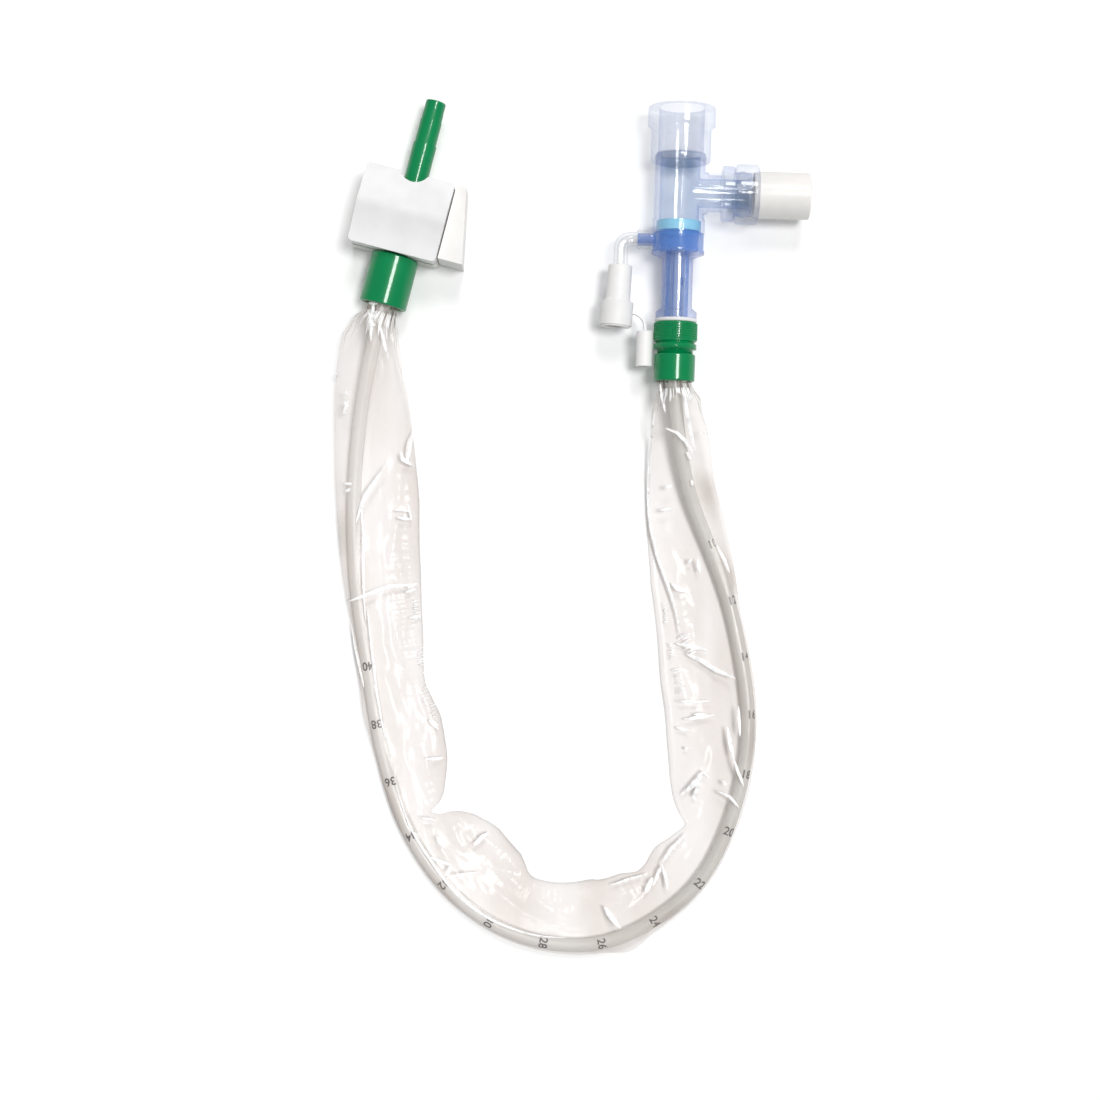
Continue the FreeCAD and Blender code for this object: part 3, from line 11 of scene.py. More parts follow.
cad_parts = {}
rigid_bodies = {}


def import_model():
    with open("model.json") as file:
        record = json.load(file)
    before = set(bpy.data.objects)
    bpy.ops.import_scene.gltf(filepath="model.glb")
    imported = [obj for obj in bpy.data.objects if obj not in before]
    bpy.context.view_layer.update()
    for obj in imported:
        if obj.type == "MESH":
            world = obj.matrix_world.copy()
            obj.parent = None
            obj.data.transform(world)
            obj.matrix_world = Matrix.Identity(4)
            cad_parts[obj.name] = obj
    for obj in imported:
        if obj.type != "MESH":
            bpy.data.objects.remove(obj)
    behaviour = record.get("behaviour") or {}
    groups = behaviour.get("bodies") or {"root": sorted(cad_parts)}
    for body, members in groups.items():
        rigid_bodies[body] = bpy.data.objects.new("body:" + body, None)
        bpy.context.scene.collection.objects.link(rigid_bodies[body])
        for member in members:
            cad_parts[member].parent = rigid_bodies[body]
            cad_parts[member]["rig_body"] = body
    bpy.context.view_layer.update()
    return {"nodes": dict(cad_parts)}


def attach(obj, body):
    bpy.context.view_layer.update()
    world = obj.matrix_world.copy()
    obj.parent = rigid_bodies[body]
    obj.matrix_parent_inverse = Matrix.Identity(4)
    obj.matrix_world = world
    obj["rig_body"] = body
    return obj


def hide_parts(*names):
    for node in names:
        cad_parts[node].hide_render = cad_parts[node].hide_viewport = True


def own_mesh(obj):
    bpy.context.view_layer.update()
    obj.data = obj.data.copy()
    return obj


bl_info = {
    "name": "Closed suction catheter",
    "version": (1, 0, 0),
    "blender": (4, 5, 0),
    "location": "3D View > Sidebar > Catheter",
    "description": "Finishes a closed suction catheter, with its film sleeve, depth numbers and stage",
    "category": "Object",
}

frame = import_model()
NODES = frame["nodes"]
MM = 0.001
FLOOR = -0.0113
BODY = "device"
UP = Vector((0, 0, 1))
EDGE = math.radians(35.0)  # a sharper turn than this in a moulding is an edge


# Shader maths


class Number:
    """A number inside a shader, so that its maths is written with Python's operators."""

    def __init__(self, tree, socket):
        self.tree = tree
        self.socket = socket

    def math(self, operation, *values):
        node = self.tree.nodes.new("ShaderNodeMath")
        node.operation = operation
        for slot, value in zip(node.inputs, values):
            if isinstance(value, Number):
                self.tree.links.new(value.socket, slot)
            else:
                slot.default_value = value
        return Number(self.tree, node.outputs[0])

    def __add__(self, other):
        return self.math("ADD", self, other)

    def __radd__(self, other):
        return self.math("ADD", other, self)

    def __sub__(self, other):
        return self.math("SUBTRACT", self, other)

    def __mul__(self, other):
        return self.math("MULTIPLY", self, other)

    def __rmul__(self, other):
        return self.math("MULTIPLY", other, self)

    def __pow__(self, power):
        return self.math("POWER", self, power)

    def clamped(self):
        return self.math("MINIMUM", self.math("MAXIMUM", self, 0.0), 1.0)

    def rising(self, low, high):
        """0 below low, 1 above high, smooth between."""
        node = self.tree.nodes.new("ShaderNodeMapRange")
        node.interpolation_type = "SMOOTHSTEP"
        self.tree.links.new(self.socket, node.inputs["Value"])
        node.inputs["From Min"].default_value = low
        node.inputs["From Max"].default_value = high
        return Number(self.tree, node.outputs[0])


class Finish:
    """A material: one Principled shader, with nodes for what varies over the surface."""

    def __init__(self, name, color, roughness, **fixed):
        self.material = bpy.data.materials.new(name)
        self.material.use_nodes = True
        self.tree = self.material.node_tree
        self.shader = self.tree.nodes["Principled BSDF"]
        self.output = self.tree.nodes["Material Output"]
        self.set(self.shader, {"Base Color": (*color, 1.0), "Roughness": roughness})
        self.set(self.shader, {name.replace("_", " "): value for name, value in fixed.items()})
        self.place = self.node("ShaderNodeTexCoord").outputs["Object"]

    def set(self, node, values):
        for name, value in values.items():
            socket = node.inputs[name]
            if isinstance(value, Number):
                self.tree.links.new(value.socket, socket)
            elif isinstance(value, bpy.types.NodeSocket):
                self.tree.links.new(value, socket)
            else:
                socket.default_value = value

    def node(self, kind, settings=None, **values):
        """Any other node: its settings first, then the values or links of its sockets."""
        node = self.tree.nodes.new(kind)
        for name, value in (settings or {}).items():
            setattr(node, name, value)
        self.set(node, {name.replace("_", " "): value for name, value in values.items()})
        return node

    def number(self, socket):
        return Number(self.tree, socket)

    def noise(self, scale, detail=3.0, stretch=None):
        """Soft noise over the surface, with lumps about 1 / scale metres wide."""
        place = self.place
        if stretch:
            place = self.node("ShaderNodeMapping", Vector=place, Scale=stretch).outputs[0]
        node = self.node("ShaderNodeTexNoise", Vector=place, Scale=scale, Detail=detail)
        return self.number(node.outputs["Fac"])

    def facing(self, blend=0.5):
        """0 where the surface faces the eye, 1 at its outline."""
        return self.number(self.node("ShaderNodeLayerWeight", Blend=blend).outputs["Facing"])

    def mixed(self, factor, first, second):
        """One colour turning into another."""
        node = self.node("ShaderNodeMix", {"data_type": "RGBA"})
        colors = [socket for socket in node.inputs if socket.type == "RGBA"]
        self.set(node, {"Factor": factor})
        for socket, color in zip(colors, (first, second)):
            if isinstance(color, bpy.types.NodeSocket):
                self.tree.links.new(color, socket)
            else:
                socket.default_value = (*color, 1.0)
        return [socket for socket in node.outputs if socket.type == "RGBA"][0]

    def bump(self, height, distance, strength=1.0):
        node = self.node("ShaderNodeBump", Height=height, Distance=distance, Strength=strength)
        self.set(self.shader, {"Normal": node.outputs[0]})
        return node.outputs[0]

    def vary(self, **values):
        self.set(self.shader, {name.replace("_", " "): value for name, value in values.items()})

    def glazed(self, roughness, shine=0.3, least=0.04, normal=None):
        """A clear skin's own reflection, which stays bright where the body is see-through."""
        skin = self.node("ShaderNodeBsdfPrincipled", Base_Color=(1, 1, 1, 1), Metallic=1.0, Roughness=roughness)
        weight = self.node("ShaderNodeLayerWeight", Blend=0.5)
        if normal:
            self.set(skin, {"Normal": normal})
            self.set(weight, {"Normal": normal})
        gloss = least + shine * self.number(weight.outputs["Facing"]) ** 4
        mix = self.node("ShaderNodeMixShader")
        self.tree.links.new(gloss.socket, mix.inputs[0])
        self.tree.links.new(self.shader.outputs[0], mix.inputs[1])
        self.tree.links.new(skin.outputs[0], mix.inputs[2])
        self.tree.links.new(mix.outputs[0], self.output.inputs["Surface"])


def moulded(name, color, roughness, **fixed):
    """Opaque moulded plastic: faint flow marks, handling haze and a fine grain."""
    finish = Finish(name, color, roughness, **fixed)
    flow = finish.noise(90.0, 4.0)
    haze = finish.noise(260.0, 2.0).rising(0.45, 0.7)
    darker = tuple(channel * 0.94 for channel in color)
    finish.vary(Base_Color=finish.mixed(flow.rising(0.35, 0.65), color, darker))
    finish.vary(Roughness=roughness + 0.10 * haze)
    finish.bump(finish.noise(900.0, 2.0), 0.00003, 0.25)
    return finish.material


def clear(name, face, edge, low, high, deep=None):
    """Clear tinted plastic: light through its walls, deeper in colour at its outlines."""
    finish = Finish(name, face, 0.3)
    rim = finish.facing(0.35)
    flow = finish.noise(70.0, 3.0)
    normal = finish.bump(finish.noise(160.0, 2.0), 0.00006, 0.3)
    tint = finish.mixed(rim.rising(0.1, 0.8), face, edge)
    cover = low + (high - low) * (rim ** 1.6) + 0.05 * (flow - 0.5)
    if deep:
        start, color, more = deep
        along = finish.node("ShaderNodeSeparateXYZ", Vector=finish.place).outputs["Y"]
        thick = finish.number(along).rising(start - 0.0002, start + 0.0002)
        tint = finish.mixed(thick, tint, color)
        cover = cover + more * thick
    finish.vary(Base_Color=tint, Alpha=cover.clamped())
    finish.glazed(0.08, normal=normal)
    return finish.material


def film_finish():
    """Thin clear film: a faint warm tint in bands, with painted shade in the pleat valleys and on the outer side over
    the tube, and painted highlights on the pleat ridges where the collars gather it.
    """
    finish = Finish("thin_film", (0.72, 0.66, 0.64), 0.35)
    marks = [finish.node("ShaderNodeAttribute", {"attribute_name": name}) for name in ("crease", "shade")]
    crease, shade = (finish.number(mark.outputs["Fac"]) for mark in marks)
    rim = finish.facing(0.5)
    bands = finish.noise(26.0, 3.0, stretch=(2.2, 0.5, 1.0)).rising(0.35, 0.68)
    fine = finish.noise(420.0, 3.0)
    slack = finish.noise(120.0, 3.0, stretch=(1.0, 0.45, 1.0))
    # Painted shade: where the shade value passes 1, in the pleat valleys near the collars and on the outer side over
    # the tube, the film turns dark.
    dark = (shade - 1.0).clamped()
    tint = finish.mixed(bands, (0.80, 0.69, 0.62), (0.70, 0.58, 0.51))
    tint = finish.mixed(dark, tint, (0.12, 0.10, 0.09))
    # Painted highlight: white on the pleat ridges near the collars.
    tint = finish.mixed((1.6 * crease).clamped(), tint, (1.0, 1.0, 1.0))
    cover = 0.075 + 0.08 * rim ** 2 + 0.08 * bands + 0.05 * shade + 0.6 * dark + 0.6 * crease
    finish.vary(Base_Color=tint, Alpha=cover.clamped())
    normal = finish.bump(slack + 0.12 * fine, 0.0007, 0.25)
    finish.glazed(0.14, 0.12, 0.006, normal=normal)
    return finish.material


def crease_finish():
    """Film creases: white as painted highlight where the film has turned, thicker and thinner along it."""
    finish = Finish("film_crease", (1.0, 1.0, 1.0), 0.4, Specular_IOR_Level=0.4)
    broken = finish.noise(500.0, 3.0).rising(0.25, 0.5)
    finish.vary(Alpha=0.7 + 0.3 * broken)
    return finish.material


def tube_finish():
    """Milky soft tube, greyer at its outlines and towards the T-piece."""
    finish = Finish("milky_tube", (0.85, 0.84, 0.82), 0.3)
    rim = finish.facing(0.4)
    across = finish.number(finish.node("ShaderNodeSeparateXYZ", Vector=finish.place).outputs["X"])
    middle = finish.mixed(across.rising(-0.10, 0.02), (0.95, 0.93, 0.91), (0.76, 0.75, 0.72))
    wall = finish.mixed(across.rising(-0.10, 0.02), (0.86, 0.82, 0.79), (0.64, 0.63, 0.61))
    finish.vary(Base_Color=finish.mixed(rim.rising(0.25, 0.9), middle, wall))
    finish.vary(Alpha=(0.66 + 0.2 * rim).clamped())
    finish.bump(finish.noise(500.0, 2.0), 0.00004, 0.3)
    return finish.material


FINISHES = {}


def make_finishes(look):
    FINISHES.update(
        green=moulded(
            "green_plastic", tuple(look.green), 0.3, Specular_IOR_Level=0.18, Coat_Weight=0.45, Coat_Roughness=0.04
        ),
        white=moulded("white_plastic", tuple(look.white), 0.38, Specular_IOR_Level=0.3),
        cream=moulded("cream_plastic", (0.90, 0.885, 0.86), 0.4, Specular_IOR_Level=0.3),
        soft=moulded("soft_white_vinyl", (0.92, 0.91, 0.905), 0.45, Specular_IOR_Level=0.3),
        ivory=moulded("ivory_plastic", (0.93, 0.91, 0.88), 0.3, Specular_IOR_Level=0.3),
        silicone=moulded("milky_silicone", (0.78, 0.78, 0.75), 0.5),
        cyan=moulded("cyan_seal", (0.42, 0.84, 0.96), 0.4),
        body=clear("clear_blue", (0.10, 0.42, 1.0), (0.0, 0.14, 0.85), 0.06, 0.36),
        swivel=clear("clear_lilac", (0.52, 0.64, 0.95), (0.22, 0.38, 0.85), 0.07, 0.38),
        side=clear("clear_pale", (0.56, 0.70, 1.0), (0.16, 0.34, 0.85), 0.04, 0.30),
        guide=clear(
            "deep_blue", (0.10, 0.32, 0.90), (0.0, 0.05, 0.55), 0.18, 0.62, deep=(-0.0488, (0.10, 0.30, 0.85), 0.2)
        ),
        elbow=clear("clear_plain", (0.80, 0.83, 0.88), (0.40, 0.42, 0.48), 0.05, 0.38),
        film=film_finish(),
        crease=crease_finish(),
        tube=tube_finish(),
        ink=moulded("ink", (0.07, 0.07, 0.08), 0.5),
    )


# Helpers


def clamped(value):
    """The value, kept between 0 and 1."""
    return max(0.0, min(1.0, value))


def outward(travel):
    """The level direction across the line, to the outside of the loop."""
    return Vector((-travel.y, travel.x, 0)).normalized()


def added(name, data):
    """A new object in the scene."""
    thing = bpy.data.objects.new(name, data)
    bpy.context.scene.collection.objects.link(thing)
    return thing


def face_outward(mesh):
    """Turns the faces of a closed mesh to the outside."""
    work = bmesh.new()
    work.from_mesh(mesh)
    bmesh.ops.recalc_face_normals(work, faces=work.faces)
    work.to_mesh(mesh)
    work.free()


def piece(name, vertices, faces, finish, replaces=(), smooth=True):
    """A mesh of the object's own frame, riding on the device."""
    mesh = bpy.data.meshes.new(name)
    mesh.from_pydata(vertices, [], faces)
    mesh.validate()
    return settled(added(name, mesh), finish, replaces, smooth=smooth)


def settled(thing, finish, replaces=(), body=BODY, smooth=True):
    """Gives an object its finish and its place among the bodies, nodes and slots."""
    thing.data.materials.clear()
    thing.data.materials.append(FINISHES[finish])
    if smooth:
        thing.data.shade_smooth()
    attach(thing, body)
    if replaces:
        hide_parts(*replaces)
    return thing


def refined(node, finish, name, slot, soften=0.0):
    """The CAD node's own shape, shaded smooth between its edges, with the edges softened if asked."""
    mesh = NODES[node].data.copy()
    work = bmesh.new()
    work.from_mesh(mesh)
    bmesh.ops.remove_doubles(work, verts=work.verts, dist=0.000002)
    if soften:
        bmesh.ops.dissolve_limit(work, angle_limit=math.radians(0.6), verts=work.verts, edges=work.edges)
    work.to_mesh(mesh)
    work.free()
    mesh.shade_smooth()
    mesh.set_sharp_from_angle(angle=EDGE)
    thing = added(name, mesh)
    if soften:
        bevel = thing.modifiers.new("soften", "BEVEL")
        bevel.width = soften
        bevel.segments = 3
        bevel.limit_method = "ANGLE"
        bevel.angle_limit = EDGE
        bevel.use_clamp_overlap = True
    thing.modifiers.new("even", "WEIGHTED_NORMAL").keep_sharp = not soften
    thing.data = made_plain(thing)
    return settled(thing, finish, (node,), NODES[node]["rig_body"], smooth=False)


def made_plain(thing):
    """The object's mesh with its modifiers worked in; the modifiers go."""
    bpy.context.view_layer.update()
    mesh = bpy.data.meshes.new_from_object(thing.evaluated_get(bpy.context.evaluated_depsgraph_get()))
    thing.modifiers.clear()
    return mesh


# The route: the catheter's own line, in metres, as across, along and height over the surface

ROUTE = [
    (0.0, -0.0468, 0.0111),
    (0.0, -0.0598, 0.01125),
    (0.0, -0.0758, 0.0113),
    (0.0002, -0.0938, 0.0111),
    (0.0024, -0.1118, 0.0086),
    (0.0065, -0.1295, 0.005),
    (0.0139, -0.1463, 0.0032),
    (0.0214, -0.1643, 0.0029),
    (0.0263, -0.1839, 0.0028),
    (0.0296, -0.2035, 0.0028),
    (0.0285, -0.223, 0.0028),
    (0.0238, -0.2422, 0.0028),
    (0.0152, -0.2607, 0.0028),
    (0.0007, -0.2741, 0.0028),
    (-0.0175, -0.2834, 0.0028),
    (-0.0379, -0.2837, 0.0028),
    (-0.057, -0.2771, 0.0028),
    (-0.0726, -0.2646, 0.0028),
    (-0.0845, -0.2481, 0.0028),
    (-0.092, -0.2293, 0.0028),
    (-0.0971, -0.2099, 0.0028),
    (-0.1004, -0.1902, 0.0028),
    (-0.1048, -0.1679, 0.0028),
    (-0.1069, -0.1448, 0.003),
    (-0.1067, -0.1208, 0.0042),
    (-0.1041, -0.0948, 0.007),
    (-0.09863, -0.0691, 0.009),
    (-0.09338, -0.04636, 0.009),
]
LINE = []
PITCH = 19.5  # millimetres from one place of the route to the next

NUMBERS = range(10, 42, 2)  # the depth numbers on the tube
NUMBER_STEP = 0.00995  # from one counted unit to the next, along the tube
TIP_MARK = 0.0116  # from the tip to the mark 0
LEAN = 0.6  # how far the numbers on the T-piece's side are turned round the tube, in radians
LEAN_END, LEAN_FADE = 0.27, 0.12  # where along the tube that ends, and over what length it fades


def route_curve(name, bevel):
    """The route as one smooth curve."""
    data = bpy.data.curves.new(name, "CURVE")
    data.dimensions = "3D"
    data.resolution_u = 24
    spline = data.splines.new("NURBS")
    spline.points.add(len(ROUTE) - 1)
    for point, (across, along, height) in zip(spline.points, ROUTE):
        point.co = (across, along, FLOOR + height, 1.0)
    spline.order_u = 3
    spline.use_endpoint_u = True
    data.bevel_depth = bevel
    data.bevel_resolution = 8
    data.use_fill_caps = True
    return added(name, data)


def read_line():
    """The points of the route's smooth line, as the curve itself gives them."""
    guide = route_curve("route_line", 0.0)
    bpy.context.view_layer.update()
    evaluated = guide.evaluated_get(bpy.context.evaluated_depsgraph_get())
    mesh = bpy.data.meshes.new_from_object(evaluated)
    LINE[:] = [vertex.co.copy() for vertex in mesh.vertices]
    bpy.data.meshes.remove(mesh)
    bpy.data.objects.remove(guide)


def on_line(share):
    """The line's point and direction at a share of its own run from 0 to 1."""
    exact = max(0.0, min(0.99999, share)) * (len(LINE) - 1)
    index = int(exact)
    point = LINE[index].lerp(LINE[index + 1], exact - index)
    before = LINE[max(0, index - 2)]
    after = LINE[min(len(LINE) - 1, index + 3)]
    return point, (after - before).normalized()


def at_place(place):
    """The line at a place counted in the route's points."""
    return on_line((place - 0.5) / (len(ROUTE) - 2))


def at_length(length):
    """The line at a distance along it from the catheter's tip."""
    walked = 0.0
    for index in range(len(LINE) - 1):
        step = (LINE[index + 1] - LINE[index]).length
        if walked + step >= length:
            return on_line((index + (length - walked) / step) / (len(LINE) - 1))
        walked += step
    return on_line(1.0)


# Settings that a user would change


class CatheterLook(bpy.types.PropertyGroup):
    """Colours and sizes of the catheter's visible finish."""

    green: bpy.props.FloatVectorProperty(
        name="Green", description="Colour of the valve, nut and collars", subtype="COLOR", default=(0.0, 0.245, 0.078)
    )
    white: bpy.props.FloatVectorProperty(
        name="White", description="Colour of the thumb valve's cover", subtype="COLOR", default=(0.86, 0.855, 0.86)
    )
    tube_diameter: bpy.props.FloatProperty(
        name="Tube diameter", description="Outer diameter of the catheter", unit="LENGTH", default=0.00467
    )
    first_number: bpy.props.FloatProperty(
        name="First number", description="Distance from the tip to depth number 10", unit="LENGTH", default=0.1020
    )
    number_height: bpy.props.FloatProperty(
        name="Number height", description="Height of the depth numbers", unit="LENGTH", default=0.0028
    )


class StageLook(bpy.types.PropertyGroup):
    """Floor, lamps and camera."""

    key: bpy.props.FloatProperty(name="Key lamp", description="Share of the key lamp in the light", default=0.56)
    fill: bpy.props.FloatProperty(name="Fill lamp", description="Share of the fill lamp in the light", default=0.20)
    sky: bpy.props.FloatProperty(name="Sky", description="Strength of the even light from all round", default=0.28)
    softness: bpy.props.FloatProperty(
        name="Softness", description="How wide the lamps look", subtype="ANGLE", default=math.radians(15)
    )
    camera_height: bpy.props.FloatProperty(
        name="Camera height", description="Camera's height over the frame's origin", unit="LENGTH", default=0.6915
    )
    lens: bpy.props.FloatProperty(name="Lens", description="Focal length for a 36 mm sensor", default=67.46)
    roll: bpy.props.FloatProperty(
        name="Roll", description="How far the camera is turned", subtype="ANGLE", default=math.radians(1.75)
    )


# Pieces


class CATHETER_OT_finishes(bpy.types.Operator):
    """Makes the materials."""

    bl_idname = "catheter.finishes"
    bl_label = "Materials"

    def execute(self, context):
        make_finishes(context.scene.catheter_look)
        return {"FINISHED"}


class CATHETER_OT_tube(bpy.types.Operator):
    """The catheter: one soft tube along the route, from the guide to the valve."""

    bl_idname = "catheter.tube"
    bl_label = "Catheter tube"

    def execute(self, context):
        look = context.scene.catheter_look
        read_line()
        tube = route_curve("catheter", look.tube_diameter / 2)
        settled(tube, "tube", ("catheter_tube",), smooth=False)
        numbers = [number_mark(look, number) for number in NUMBERS] + [number_mark(look, 0, TIP_MARK)]
        return {"FINISHED"}


def number_mark(look, number, length=None):
    """A depth number, drawn flat and then laid round the tube."""
    data = bpy.data.curves.new(f"number_{number}", "FONT")
    data.body = str(number)
    data.size = look.number_height * 1.42
    data.align_x = "CENTER"
    data.align_y = "CENTER"
    data.offset = look.number_height * 0.03
    flat = added("number_flat", data)
    bpy.context.view_layer.update()
    mesh = bpy.data.meshes.new_from_object(flat.evaluated_get(bpy.context.evaluated_depsgraph_get()))
    bpy.data.objects.remove(flat)
    work = bmesh.new()
    work.from_mesh(mesh)
    bmesh.ops.subdivide_edges(work, edges=work.edges, cuts=2)
    bmesh.ops.triangulate(work, faces=work.faces)
    where = length or look.first_number + (number - NUMBERS[0]) * NUMBER_STEP
    lean = LEAN * clamped((LEAN_END - where) / LEAN_FADE)
    radius = look.tube_diameter / 2 + 0.00004
    middle = sum((vertex.co.y for vertex in work.verts)) / len(work.verts)
    for vertex in work.verts:
        centre, travel = at_length(where - (vertex.co.y - middle))
        side = outward(travel)
        up = side.cross(travel) * -1
        up = up if up.z > 0 else up * -1
        turn = vertex.co.x / radius + lean
        vertex.co = centre + (side * math.sin(turn) + up * math.cos(turn)) * radius
    work.to_mesh(mesh)
    work.free()
    mesh.name = f"number_{number}"
    return settled(added(f"number_{number}", mesh), "ink")


# Film: at places of the route, its reach to the outside of the loop and to the inside, height of its
# underside, rise over the tube, rise of its inner half, how flat it lies and how deep it is pleated
FILM = [
    (3.02, 5.6, 5.6, 5.7, 11.2, 11.2, 0.0, 0.06),
    (3.25, 7.6, 7.0, 5.1, 11.6, 10.7, 0.07, 0.09),
    (3.44, 8.2, 8.3, 4.6, 11.7, 10.2, 0.15, 0.09),
    (4.06, 10.2, 10.4, 2.8, 10.7, 8.2, 0.57, 0.04),
    (4.89, 9.2, 14.5, 0.9, 8.3, 5.8, 0.86, 0.01),
    (5.5, 8.5, 18.5, 0.3, 7.2, 4.8, 0.95, 0.01),
    (6.0, 7.0, 21.3, 0.0, 6.4, 4.0, 1.0, 0.0),
    (6.38, 5.8, 23.5, 0.0, 6.3, 3.8, 1.0, 0.0),
    (7.4, 2.9, 26.6, 0.0, 6.2, 3.4, 1.0, 0.0),
    (8.36, 3.0, 28.4, 0.0, 6.2, 3.3, 1.0, 0.0),
    (9.35, 2.8, 27.6, 0.0, 6.2, 3.4, 1.0, 0.0),
    (10.24, 3.1, 24.7, 0.0, 6.2, 3.8, 1.0, 0.0),
    (10.85, 3.0, 20.5, 0.0, 6.2, 4.1, 1.0, 0.0),
    (11.1, 2.9, 16.7, 0.0, 6.2, 4.2, 1.0, 0.0),
    (11.25, 2.9, 13.6, 0.0, 6.2, 4.3, 1.0, 0.0),
    (11.52, 2.9, 15.5, 0.0, 6.2, 4.4, 1.0, 0.0),
    (12.09, 2.8, 18.5, 0.0, 6.2, 4.6, 1.0, 0.0),
    (12.75, 2.8, 16.6, 0.0, 6.2, 4.5, 1.0, 0.0),
    (13.17, 3.5, 19.2, 0.0, 6.2, 4.4, 1.0, 0.0),
    (13.62, 5.5, 20.3, 0.0, 6.2, 4.3, 1.0, 0.0),
    (14.06, 3.4, 21.5, 0.0, 6.2, 4.2, 1.0, 0.0),
    (15.14, 2.9, 20.1, 0.0, 6.2, 4.0, 1.0, 0.0),
    (15.54, 2.8, 19.8, 0.0, 6.2, 3.9, 1.0, 0.0),
    (16.24, 2.8, 24.9, 0.0, 6.2, 3.9, 1.0, 0.0),
    (17.07, 2.8, 26.0, 0.0, 6.2, 4.2, 1.0, 0.0),
    (17.66, 2.8, 22.8, 0.0, 6.2, 4.5, 1.0, 0.0),
    (18.03, 2.8, 16.6, 0.0, 6.2, 4.6, 1.0, 0.0),
    (18.09, 2.8, 11.8, 0.0, 6.2, 4.6, 1.0, 0.0),
    (18.24, 2.8, 9.3, 0.0, 6.2, 4.5, 1.0, 0.0),
    (18.3, 2.8, 12.7, 0.0, 6.2, 4.4, 1.0, 0.0),
    (18.55, 2.8, 16.5, 0.0, 6.2, 4.3, 1.0, 0.0),
    (19.25, 2.8, 21.1, 0.0, 6.2, 4.0, 1.0, 0.0),
    (19.83, 3.5, 21.7, 0.0, 6.2, 3.7, 1.0, 0.0),
    (20.23, 4.1, 19.9, 0.0, 6.2, 3.6, 1.0, 0.0),
    (20.61, 3.8, 18.2, 0.0, 6.2, 3.6, 1.0, 0.0),
    (21.43, 3.3, 20.3, 0.0, 6.3, 3.6, 1.0, 0.0),
    (22.37, 4.5, 22.0, 0.0, 6.4, 3.8, 1.0, 0.0),
    (23.3, 5.9, 22.2, 0.1, 6.8, 4.6, 0.95, 0.0),
    (24.05, 7.5, 20.2, 0.5, 7.7, 5.5, 0.83, 0.01),
    (24.87, 9.7, 15.3, 1.5, 9.9, 7.9, 0.5, 0.04),
    (25.51, 10.4, 8.8, 2.8, 11.4, 10.6, 0.11, 0.09),
    (25.6, 9.4, 7.8, 3.0, 11.6, 11.0, 0.05, 0.1),
    (25.74, 8.4, 6.4, 3.2, 11.4, 11.1, 0.02, 0.07),
    (25.86, 5.6, 5.6, 3.4, 11.2, 11.2, 0.0, 0.04),
]
